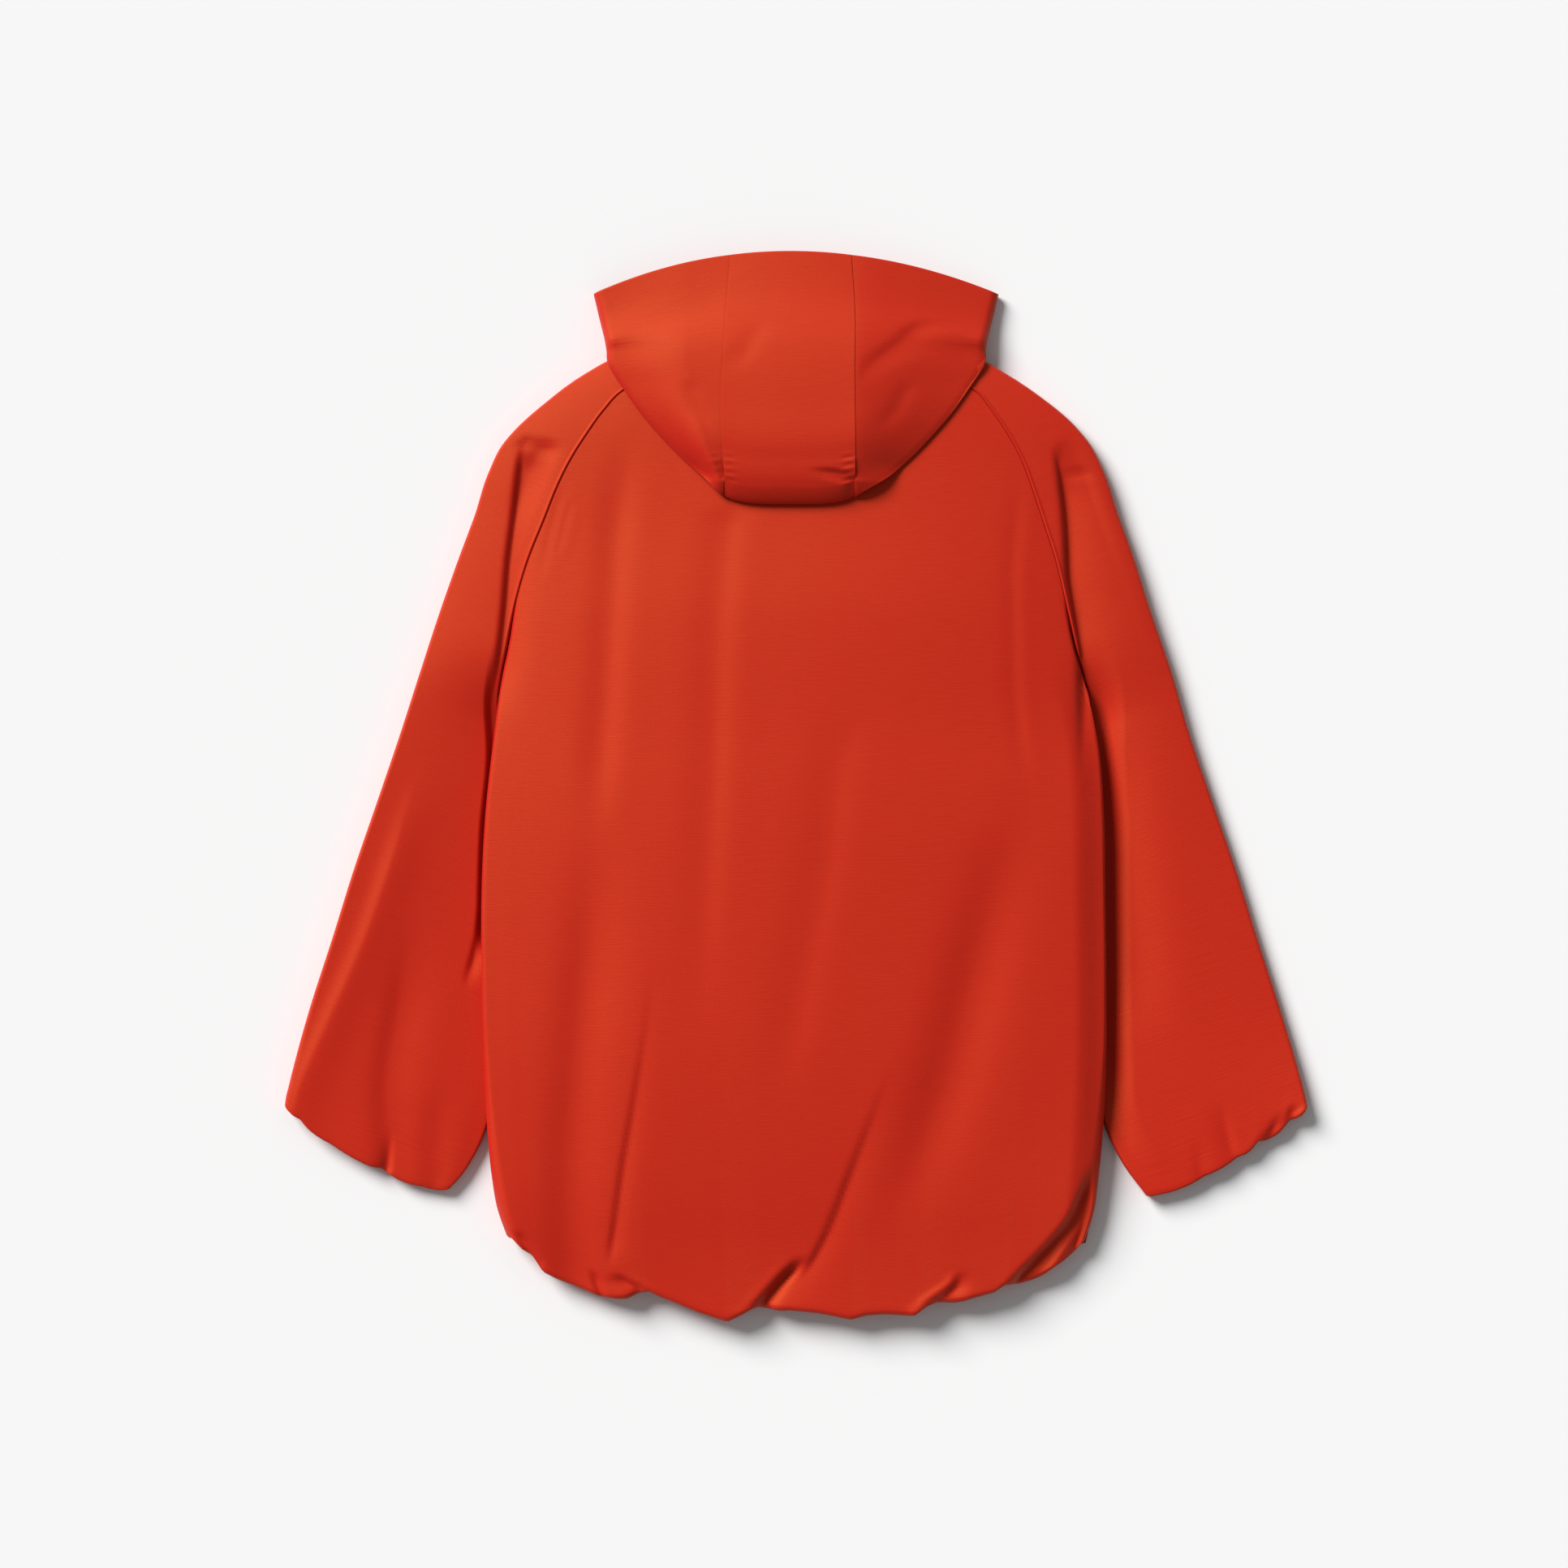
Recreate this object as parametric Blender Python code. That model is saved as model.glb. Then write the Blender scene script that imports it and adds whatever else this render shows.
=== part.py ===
"""Hooded raglan jacket in canvas, laid flat with its back up."""

import bpy
import numpy as np

# Driving dimensions, in millimetres. X runs across the jacket, +Y towards the hood, Z up from the surface.
WALL = 2.0
SEAM_GAP = 0.4
LAY_GAP = 1.6
HEM_ROLL = 5.0
CUFF_ROLL = 2.6
UNDERARM_Y = 128.0
UNDERARM_Z = 11.0
SHOULDER_EDGE = 15.0
SHOULDER_RISE = 13.0
SHOULDER_REACH = 62.0
BODY_LIFT = 11.5
SLEEVE_SINK = 5.7
CUFF_RISE = 3.4
FRONT_HEM_SHARE = 0.96
LIFT_REACH = 42.0
ZIP_GAP = 8.0
SLEEVE_ROUND = 8.0
NECK_FRONT_Y = 336.0
HEM_CORNER_Y = -415.0
METRES = 0.001

RED = (0.56, 0.03, 0.015, 1.0)
DARK_RED = (0.4, 0.02, 0.012, 1.0)
NICKEL = (0.62, 0.62, 0.6, 1.0)


def table(names, *rows):
    return dict(zip(names.split(), np.array(rows, float).T))


# The body's two edges: the raglan seams down to the underarm, then the side folds down to the hem's corners.
BODY = table(
    "y left right",
    (391, -85, 88),
    (376, -124, 130),
    (361, -156, 161),
    (343, -174, 177),
    (321, -190, 192),
    (299, -204, 204),
    (273, -217, 214),
    (243, -229, 224),
    (206, -244, 236),
    (169, -255, 245),
    (128, -263, 254),
    (95, -269, 263),
    (36, -277, 276),
    (-31, -284, 281),
    (-97, -287, 282),
    (-171, -287, 283),
    (-245, -285, 283),
    (-312, -282, 280),
    (-356, -277, 276),
    (-386, -271, 271),
    (-415, -260, 261),
)

# The body's section along its length: height at the middle, at the side's round, and that round's half width.
SECTION = table(
    "y crown edge round",
    (391, 27, 27, 8),
    (128, 37, 26, 8),
    (78, 38, 27, 8),
    (-170, 38, 28, 9),
    (-312, 35, 28, 11),
    (-386, 30, 28, 15),
    (-415, 28, 28, 16),
)

# The back's hem line, gathered: points along it from left to right.
HEM = table(
    "x y",
    (-260, -417),
    (-241, -430),
    (-230, -444),
    (-208, -454),
    (-179, -466),
    (-156, -468),
    (-133, -462),
    (-112, -471),
    (-63, -488),
    (-34, -476),
    (8, -481),
    (50, -487),
    (80, -482),
    (110, -482),
    (128, -474),
    (154, -469),
    (190, -459),
    (223, -447),
    (243, -436),
    (261, -418),
)

# Sleeves: the outer fold, where the inner seam line meets the body's edge, and how far it is tucked under it.
SLEEVE_LEFT = table(
    "outer_x outer_y inner_y tuck",
    (-107, 412, 390, 0),
    (-150, 399, 377, 0),
    (-194, 376, 360, 0),
    (-232, 346, 338, 0),
    (-264, 314, 306, 0),
    (-279, 285, 273, 0),
    (-291, 247, 225, 0),
    (-306, 208, 178, 0),
    (-325, 158, 128, 0),
    (-343, 106, 80, 0),
    (-361, 50, 22, 9),
    (-382, -12, -48, 9),
    (-404, -76, -118, 9),
    (-424, -140, -188, 8),
    (-444, -202, -254, 7),
    (-458, -252, -310, 1),
    (-464, -276, -337, -14),
    (-467, -288, -360, -37),
)
SLEEVE_RIGHT = table(
    "outer_x outer_y inner_y tuck",
    (107, 412, 390, 0),
    (150, 399, 377, 0),
    (193, 376, 360, 0),
    (233, 346, 338, 0),
    (263, 314, 306, 0),
    (277, 285, 273, 0),
    (290, 247, 225, 0),
    (305, 208, 178, 0),
    (322, 158, 128, 0),
    (341, 106, 80, 0),
    (359, 50, 22, 9),
    (380, -12, -48, 9),
    (402, -76, -118, 9),
    (422, -140, -188, 9),
    (442, -202, -254, 8),
    (457, -252, -312, -2),
    (464, -278, -342, -20),
    (467, -292, -366, -45),
)
# Top of the sleeve's cloth beside its inner seam, over its middle and at its outer fold, from neck to cuff.
SLEEVE_TOP = table(
    "along inner middle outer",
    (0.0, 10.5, 18, 15),
    (0.5, 10.5, 18, 16),
    (0.75, 10.5, 18, 16),
    (0.87, 10.5, 18, 17),
    (0.94, 14, 18, 18),
    (1.0, 18, 18, 18),
)

# Folds in the back and the shoulders, each through three points: a trough with a ridge beside it.
FOLDS = table(
    "x1 y1 x2 y2 x3 y3 width depth ridge side",
    (-154, 345, -174, 139, -184, -10, 17, 2.6, 0.8, -1),
    (-176, -40, -192, -170, -207, -420, 26, 4.0, 1.0, 1),
    (-60, 262, -74, 60, -90, -240, 15, 2.0, 0.6, 1),
    (56, 90, 34, -20, -12, -330, 20, 1.8, 0.6, -1),
    (205, 300, 197, 180, 216, -10, 8, 2.0, 1.0, 1),
    (-137, -205, -152, -320, -178, -480, 9, 6.5, 3.0, 1),
    (72, -290, 38, -385, -30, -490, 9, 7.5, 3.0, 1),
    (222, 0, 162, -164, 99, -440, 24, 6.0, 1.5, 1),
    (-213, 280, -226, 235, -232, 190, 7, 1.6, 0.8, 1),
    (150, -430, 140, -455, 128, -490, 8, 5.0, 2.0, 1),
    (276, -340, 246, -400, 190, -475, 10, 7.0, 2.5, -1),
    (-255, 322, -262, 230, -267, 120, 8, 11.0, 1.5, -1),
    (249, 326, 240, 240, 258, 110, 8, 11.0, 1.5, 1),
    (-60, -455, -57, -475, -50, -500, 12, 3.0, 1.0, 1),
    (-220, -400, -226, -430, -232, -470, 9, 3.5, 1.5, 1),
)
# Folds in the sleeves below the underarm, in the same way.
SLEEVE_FOLDS = table(
    "x1 y1 x2 y2 x3 y3 width depth ridge side",
    (-346, -120, -373, -270, -378, -380, 13, 4.0, 1.5, 1),
    (-392, -120, -425, -235, -455, -310, 12, 1.5, 1.5, -1),
    (-300, -270, -318, -320, -334, -390, 10, 2.5, 1.0, 1),
    (390, -280, 397, -315, 408, -350, 9, 3.0, 1.2, 1),
    (428, -280, 420, -310, 408, -350, 7, 3.5, 1.2, 1),
    (340, -300, 344, -340, 352, -390, 11, 2.0, 0.8, 1),
    (284, 60, 300, -60, 318, -240, 20, 1.5, 0.6, 1),
)

# The hood's centre strip, seen from above: its two seams from the opening's edge to the crown.
STRIP = table(
    "y left right",
    (486, -60, 50),
    (436, -64, 53),
    (370, -68, 53),
    (312, -68, 53.5),
    (280, -65.5, 53.5),
    (262, -65.5, 53.5),
)
# A hood side, from the opening's edge to the crown. The cloth runs from the strip's seam over the outer fold,
# then under, past a middle point, to the neck seam or to the strip's lower seam.
HOOD_SIDE = table(
    "seam_y fold_x fold_y fold_z thick mid_x mid_y mid_z end_x end_y end_z",
    (484, 185, 449, 0.0, 17, 122, 450, 0.0, 4.4, 421.0, 0.0),
    (464, 180, 428, 0.5, 19, 119, 442, 0.0, 4.4, 380.0, 0.0),
    (448, 177, 416, 2.0, 20, 117, 434, 0.0, 4.4, 337.0, 0.0),
    (434, 175, 408, 4.0, 21, 115, 430, 0.0, 50.0, 356.0, 0.0),
    (420, 174, 403, 6.0, 21, 114, 424, 1.0, 89.0, 395.0, 0.0),
    (406, 173, 397, 12.0, 20, 126, 414, 15.0, 110.0, 417.0, 14.0),
    (388, 171, 383, 20.0, 19, 125, 386, 24.0, 87.0, 389.0, 28.0),
    (366, 157, 361, 22.0, 19, 110, 370, 26.0, 64.0, 387.0, 28.0),
    (342, 139, 336, 26.0, 18, 102, 341, 28.0, 63.5, 345.0, 28.0),
    (316, 113, 307, 28.0, 18, 90, 312, 28.0, 62.0, 318.0, 28.0),
    (294, 88, 284, 28.0, 17, 75, 291, 28.0, 60.5, 296.0, 28.0),
    (278, 59.7, 262.5, 28.0, 17, 59.7, 270, 28.0, 59.7, 278.0, 28.0),
)
# Top of the hood along the strip's seams, and how far the strip's middle is off the jacket's.
HOOD_TOP = table("y z", (490, 24), (449, 31), (400, 44), (350, 50), (300, 51), (262, 49))
HOOD_SHIFT = -6.0
HOOD_ROUND = 8.0
CROWN_ROLL = 8.0
CROWN_SEAM_Y = 262.5
STRIP_PUFF = 2.0
# Extra height under a hood side where it comes down off the shoulders.
HOOD_CLEAR = 2.5


def curve(at, xs, ys):
    """Smooth cubic through the points (xs, ys), with xs rising or falling."""
    order = np.argsort(xs)
    xs = np.asarray(xs, float)[order]
    ys = np.asarray(ys, float)[order]
    slope = np.gradient(ys, xs)
    at = np.clip(at, xs[0], xs[-1])
    i = np.clip(np.searchsorted(xs, at) - 1, 0, len(xs) - 2)
    span = xs[i + 1] - xs[i]
    t = (at - xs[i]) / span
    return (
        (2 * t**3 - 3 * t**2 + 1) * ys[i]
        + (t**3 - 2 * t**2 + t) * span * slope[i]
        + (3 * t**2 - 2 * t**3) * ys[i + 1]
        + (t**3 - t**2) * span * slope[i + 1]
    )


def ramp(value, start, end):
    """0 before start, 1 after end, smooth between."""
    t = np.clip((value - start) / (end - start), 0, 1)
    return t * t * (3 - 2 * t)


def fold_height(x, y, folds):
    """Height that the folds add to the cloth at (x, y)."""
    height = np.zeros(np.broadcast(x, y).shape)
    for x1, y1, x2, y2, x3, y3, width, depth, ridge, side in zip(*folds.values()):
        down = (y1 - y) / (y1 - y3)
        middle = (y1 - y2) / (y1 - y3)
        bend = (x2 - x1 - (x3 - x1) * middle) / (middle * (middle - 1))
        centre = x1 + (x3 - x1) * down + bend * down * (down - 1)
        fade = ramp(down, 0, 0.3) * ramp(down, 1.1, 0.85)
        across = (x - centre) / width
        trough = np.exp(-across * across)
        beside = np.exp(-((across - 2 * side) ** 2) / 1.5)
        height += fade * (ridge * beside - depth * trough)
    return height


def shoulder_height(x, y):
    """Top of the cloth across the shoulders: it rises inwards from the outer folds."""
    left = curve(y, SLEEVE_LEFT["outer_y"], SLEEVE_LEFT["outer_x"])
    right = curve(y, SLEEVE_RIGHT["outer_y"], SLEEVE_RIGHT["outer_x"])
    inside = np.clip(np.minimum(x - left, right - x), 0, None)
    rise = SHOULDER_RISE * (1 - np.exp(-inside / SHOULDER_REACH))
    settle = ramp(inside, 5, 22) * ramp(y, 400, 330)
    return SHOULDER_EDGE + rise + settle * fold_height(x, y, FOLDS)


def below_underarm(y):
    """0 above the underarm, 1 a hand's width below it."""
    return ramp(y, UNDERARM_Y + 45, UNDERARM_Y)


def body_top(x, y, share):
    """Top of the back: the shoulders' height down to the underarm, then a low dome."""
    dome = (4 * share * (1 - share)) ** 0.7
    edge = curve(y, SECTION["y"], SECTION["edge"])
    crown = curve(y, SECTION["y"], SECTION["crown"])
    open_cloth = ramp(np.minimum(share, 1 - share), 0.015, 0.09)
    level = edge + (crown - edge) * dome + fold_height(x, y, FOLDS) * open_cloth
    part = ramp(y, UNDERARM_Y, UNDERARM_Y - 68)
    inner = shoulder_height(x, y) + (crown - 28) * dome * ramp(y, 391, 150)
    return inner * (1 - part) + level * part


def rounds(count, steps):
    """Columns of a folded section: inset and rise on both side rounds, and the share of the way across."""
    turn = np.linspace(0, np.pi / 2, steps + 1)
    flat = count - 2 * steps
    across = np.linspace(0, 1, flat + 1)
    left = np.concatenate([1 - np.cos(turn), np.ones(flat + steps)])
    right = left[::-1]
    share = np.concatenate([np.zeros(steps), across, np.ones(steps)])
    lift_left = np.concatenate([np.sin(turn), np.ones(flat + steps)])
    return left, right, share, np.minimum(lift_left, lift_left[::-1])


def body_plan(edge_y, count, steps):
    """Plan of the body's cloth: x, y and share across for rows down the jacket and columns across it."""
    left_in, right_in, across, rise = rounds(count, steps)
    edge_y = edge_y[:, None]
    down = (edge_y[0] - edge_y) / (edge_y[0] - edge_y[-1])
    left = curve(edge_y, BODY["y"], BODY["left"])
    right = curve(edge_y, BODY["y"], BODY["right"])
    half = curve(edge_y, SECTION["y"], SECTION["round"])
    width = right - left
    x = left + half * left_in + (width - 2 * half) * across + half * (1 - right_in)
    x = np.clip(x, left + SEAM_GAP / 2, right - SEAM_GAP / 2)
    hem_x = BODY["left"][-1] + (BODY["right"][-1] - BODY["left"][-1]) * (x - left) / width
    drop = curve(hem_x, HEM["x"], HEM["y"]) - HEM_CORNER_Y
    y = edge_y + drop * down**5
    return x, y, (x - left) / width, rise


def seam_rise(y, rise):
    """How far a section's point stands from its seam's height to its flat, as 0 to 1."""
    below = below_underarm(y)
    return 1 - below + below * rise


def grid_normals(points):
    along = np.gradient(points, axis=0)
    across = np.gradient(points, axis=1)
    normal = np.cross(along, across)
    return normal / np.linalg.norm(normal, axis=2, keepdims=True)


def inside_rows(points, normal, radius, places):
    """Rows of the turned-in cloth, at these places counted in rows back from the sheet's last one."""
    place = len(points) - 1 - np.asarray(places, float)
    low = np.floor(place).astype(int)
    part = (place - low)[:, None, None]
    sheet = points - 2 * radius * normal
    return sheet[low] * (1 - part) + sheet[low + 1 - (part[:, 0, 0] == 0)] * part


def turned_in(points, normal, radius, places, steps=4):
    """The sheet's last edge rolled under by a half turn and carried back up inside."""
    outward = points[-1] - points[-2]
    outward = outward / np.linalg.norm(outward, axis=1, keepdims=True)
    turn = np.linspace(0, np.pi, steps + 1)[1:, None, None]
    roll = points[-1] + radius * np.sin(turn) * outward - radius * (1 - np.cos(turn)) * normal[-1]
    return np.concatenate([points, roll, inside_rows(points, normal, radius, places)])


def whole_normals(whole, normal):
    """Normals of a sheet with its turned-in edge, with the wall level beside the seams of that edge."""
    found = grid_normals(whole)
    rows = len(normal)
    found[:rows, [0, -1]] = normal[:, [0, -1]]
    for column in (0, -1):
        if abs(normal[-1, column, 0]) > 0.5:
            edge = found[rows:, column] * (1, 1, 0)
            found[rows:, column] = edge / np.linalg.norm(edge, axis=1, keepdims=True)
    return found


def add_wall(name, points, normal, colour, roughness=0.62):
    """Closes a sheet of outer points into a wall of cloth, one solid."""
    inner = points - WALL * normal
    rows, columns = points.shape[:2]
    number = np.arange(rows * columns).reshape(rows, columns)
    corners = (number[:-1, :-1], number[:-1, 1:], number[1:, 1:], number[1:, :-1])
    quads = np.stack(corners, axis=2).reshape(-1, 4)
    border = np.concatenate([number[0], number[1:, -1], number[-1, -2::-1], number[-2:0:-1, 0]])
    after = np.roll(border, -1)
    shift = rows * columns
    sides = np.stack([border, border + shift, after + shift, after], axis=1)
    faces = np.concatenate([quads[:, ::-1], quads + shift, sides[:, ::-1]])
    mesh = bpy.data.meshes.new(name)
    corners = np.concatenate([points.reshape(-1, 3), inner.reshape(-1, 3)]) * METRES
    mesh.from_pydata(corners.tolist(), [], faces.tolist())
    mesh.shade_smooth()
    obj = bpy.data.objects.new(name, mesh)
    bpy.context.scene.collection.objects.link(obj)
    finish(obj, colour, roughness)
    return obj


def finish(obj, colour, roughness, metallic=0.0):
    material = bpy.data.materials.new(obj.name)
    material.use_nodes = True
    shader = material.node_tree.nodes["Principled BSDF"]
    shader.inputs["Base Color"].default_value = colour
    shader.inputs["Roughness"].default_value = roughness
    shader.inputs["Metallic"].default_value = metallic
    obj.data.materials.append(material)


def seam_z(y):
    """Height of the body's side seam above the surface."""
    return UNDERARM_Z + 8 * ramp(y, UNDERARM_Y, UNDERARM_Y - 50) - 5 * ramp(y, -320, -400)


def set_edges(normal, y, first, last):
    """Turns the wall at both seam columns the way that its neighbour's wall turns."""
    below = below_underarm(y)[:, None]
    up = np.array([0.0, 0.0, 1.0])
    for column, (flat, side) in ((0, first), (-1, last)):
        if side is None:
            continue
        edge = flat * up * (1 - below) + np.array([side, 0.0, 0.0]) * below
        normal[:, column] = edge / np.linalg.norm(edge, axis=1, keepdims=True)
    return normal


# Where the cloth's rows lie along the jacket: the body and the sleeves share those down to the underarm.
SHOULDER_ROWS = np.concatenate([np.linspace(391, 343, 5), np.linspace(321, UNDERARM_Y, 7)])
BODY_ROWS = np.concatenate([SHOULDER_ROWS, np.linspace(95, -290, 10), np.linspace(-320, -410, 5)])
SLEEVE_ROWS = np.concatenate([SHOULDER_ROWS, np.linspace(95, -240, 7), np.linspace(-268, -350, 4)])
# Rows of the turned-in cloth and of the elastic bands inside it, counted back from the hem or the cuff.
HEM_PLACES = (1, 1.8)
BAND_PLACES = (1.9, 2.2, 2.5)
CUFF_BAND_PLACES = (1.84, 2.22, 2.6)
# The hem's band lies this much deeper inside than the turned-in cloth.
BAND_STEP = 0.15


def body_back():
    x, y, share, rise = body_plan(BODY_ROWS, 22, 3)
    edge_y = BODY_ROWS[:, None]
    seam = seam_z(edge_y)
    z = seam + (body_top(x, y, share) - seam) * seam_rise(edge_y, rise)
    z[:, [0, -1]] += SEAM_GAP / 2 * below_underarm(edge_y)
    points = np.stack([x, y, z], axis=2)
    normal = set_edges(grid_normals(points), edge_y[:, 0], (1, -1), (1, 1))
    return points, normal


def body_front(side):
    """One front, from the side seam to the zip: side is -1 on the left as seen from above, 1 on the right."""
    edge_y = BODY_ROWS[:, None]
    steps = 3
    columns = 8
    edges = BODY["left" if side < 0 else "right"]
    edge = curve(edge_y, BODY["y"], edges)
    half = curve(edge_y, SECTION["y"], SECTION["round"])
    turn = np.linspace(0, np.pi / 2, steps + 1)
    inset = np.concatenate([1 - np.cos(turn), np.ones(columns - steps)])
    rise = np.concatenate([np.sin(turn), np.ones(columns - steps)])
    across = np.concatenate([np.zeros(steps), np.linspace(0, 1, columns - steps + 1)])
    reach = np.abs(edge) - half - ZIP_GAP / 2
    away = np.maximum(half * inset + reach * across, SEAM_GAP / 2)
    x = edge - side * away
    hem_x = edges[-1] * x / edge
    drop = (curve(hem_x, HEM["x"], HEM["y"]) - HEM_CORNER_Y) * FRONT_HEM_SHARE
    down = (edge_y[0] - edge_y) / (edge_y[0] - edge_y[-1])
    neck = (NECK_FRONT_Y - BODY["y"][0]) * (1 - (x / edge) ** 2) * (1 - down) ** 5
    y = edge_y + drop * down**5 + neck
    lift = BODY_LIFT * ramp(edge_y, UNDERARM_Y, UNDERARM_Y - 50) * ramp(edge_y, -400, -310)
    flat = lift * (1 - ramp(away, half, LIFT_REACH))
    seam = seam_z(edge_y)
    z = seam - (seam - flat) * seam_rise(edge_y, rise)
    z[:, 0] -= SEAM_GAP / 2 * below_underarm(edge_y[:, 0])
    points = np.stack([x, y, z], axis=2)
    if side < 0:
        points = points[:, ::-1]
        normal = set_edges(grid_normals(points), edge_y[:, 0], (None, None), (-1, -1))
        normal[:, 0] = (0, 0, -1)
    else:
        normal = set_edges(grid_normals(points), edge_y[:, 0], (-1, 1), (None, None))
        normal[:, -1] = (0, 0, -1)
    return points, normal


def sleeve(side):
    stations = SLEEVE_LEFT if side < 0 else SLEEVE_RIGHT
    edges = BODY["left" if side < 0 else "right"]
    last = stations["inner_y"][-1]
    inner_y = np.append(SLEEVE_ROWS, last)[:, None]
    outer_x = curve(inner_y, stations["inner_y"], stations["outer_x"])
    outer_y = curve(inner_y, stations["inner_y"], stations["outer_y"])
    tuck = curve(inner_y, stations["inner_y"], stations["tuck"])
    inner_x = curve(inner_y, BODY["y"], edges) - side * tuck
    inner_x = inner_x + side * SEAM_GAP / 2
    width = np.hypot(outer_x - inner_x, outer_y - inner_y)
    steps, columns = 3, 11
    left_in, right_in, across = rounds(columns, steps)[:3]
    away = SLEEVE_ROUND * (1 + left_in - right_in) + (width - 2 * SLEEVE_ROUND) * across
    part = away / width
    x = inner_x + (outer_x - inner_x) * part
    y = inner_y + (outer_y - inner_y) * part
    turn = np.sin(np.linspace(0, np.pi / 2, steps + 1))
    rise_in = np.concatenate([turn, np.ones(columns - steps)])
    rise_out = rise_in[::-1]
    rise = seam_rise(inner_y, rise_in) * rise_out
    along = (inner_y[0] - inner_y) / (inner_y[0] - last)
    inner = curve(along, SLEEVE_TOP["along"], SLEEVE_TOP["inner"])
    middle = curve(along, SLEEVE_TOP["along"], SLEEVE_TOP["middle"])
    outer = curve(along, SLEEVE_TOP["along"], SLEEVE_TOP["outer"])
    tube = inner + (outer - inner) * part + (middle - (inner + outer) / 2) * 4 * part * (1 - part)
    tube = tube + fold_height(x, y, SLEEVE_FOLDS) * ramp(part, 0, 0.12)
    own = ramp(inner_y, UNDERARM_Y, UNDERARM_Y - 78)
    top = shoulder_height(x, y) * (1 - own) + tube * own
    sink = SLEEVE_SINK * ramp(inner_y, UNDERARM_Y, UNDERARM_Y - 50)
    seam = UNDERARM_Z - sink + CUFF_RISE * ramp(inner_y, -290, -350)
    fold = outer / 2
    middle_z = np.where(part < 0.5, seam, fold)
    below = below_underarm(inner_y)
    upper = middle_z + (top - middle_z) * rise
    lower = middle_z * (1 - rise)
    upper[:, :1] += SEAM_GAP / 2 * below
    lower[:, :1] -= SEAM_GAP / 2 * below
    above = np.stack([x, y, upper], axis=2)
    under = np.stack([x, y, lower], axis=2)[:, ::-1]
    points = np.concatenate([above, under[:, 1:]], axis=1)
    if side < 0:
        points = points[:, ::-1]
        ends = ((-1, 1), (1, 1))
    else:
        ends = ((1, -1), (-1, -1))
    normal = set_edges(grid_normals(points), inner_y[:, 0], *ends)
    return points, normal


def flat_in_x(normal, where):
    """Turns the wall at these points so that it doesn't lean sideways, as its neighbour's doesn't."""
    edge = normal[where] * (0, 1, 1)
    normal[where] = edge / np.linalg.norm(edge, axis=-1, keepdims=True)
    return normal


def cover(x, y):
    """Height at which a layer lies on the back and the shoulders."""
    left = curve(y, BODY["y"], BODY["left"])
    right = curve(y, BODY["y"], BODY["right"])
    share = np.clip((x - left) / (right - left), 0, 1)
    return body_top(x, y, share) + LAY_GAP


def opening_y(x):
    return 488 - 39 * (x / 185) ** 2


def crown_y(x):
    return 255.5 + 7 * (np.abs(x - HOOD_SHIFT) / 59) ** 4


HOOD_PLACES = np.concatenate([np.arange(0, 3.1, 1), np.arange(3.5, 11.1, 0.5)])


def hood_station(name, place):
    if name in ("end_x", "end_y", "end_z"):
        return np.interp(place, np.arange(12), HOOD_SIDE[name])
    return curve(place, np.arange(12), HOOD_SIDE[name])


def hood_strip():
    place = HOOD_PLACES[:, None]
    seam_y = hood_station("seam_y", place)
    left = curve(seam_y, STRIP["y"], STRIP["left"]) + SEAM_GAP / 2
    right = curve(seam_y, STRIP["y"], STRIP["right"]) - SEAM_GAP / 2
    share = np.linspace(0, 1, 7)
    x = left + (right - left) * share
    near = (1 - place / 11) ** 2
    far = (place / 11) ** 2
    edge = np.where(share < 0.5, opening_y(left), opening_y(right))
    y = seam_y + (opening_y(x) - edge) * near + (crown_y(x) - CROWN_SEAM_Y) * far
    puff = STRIP_PUFF * 4 * share * (1 - share)
    z = curve(seam_y, HOOD_TOP["y"], HOOD_TOP["z"]) + puff
    top = np.stack([x, y, z], axis=2)
    x_end = x[-1:]
    roll_y = crown_y(x_end) + CROWN_ROLL
    turn = np.linspace(np.pi / 2, -np.pi / 2, 9)[:, None]
    high = z[-1:] - SEAM_GAP
    low = cover(x_end, roll_y)
    z_roll = (high + low) / 2 + (high - low) / 2 * np.sin(turn)
    roll = np.stack([x_end + 0 * turn, roll_y - CROWN_ROLL * np.cos(turn), z_roll], axis=2)
    back = HOOD_PLACES[HOOD_PLACES >= 7][::-1][:, None]
    end_x = hood_station("end_x", back) - SEAM_GAP
    x = HOOD_SHIFT + end_x * (2 * share - 1)
    y = hood_station("end_y", back) + (crown_y(x) - CROWN_SEAM_Y) * ((back - 7) / 4) ** 2
    under = np.stack([x, y, cover(x, y)], axis=2)
    points = np.concatenate([top, roll, under])
    return points, flat_in_x(grid_normals(points), np.s_[:, [0, -1]])


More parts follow.
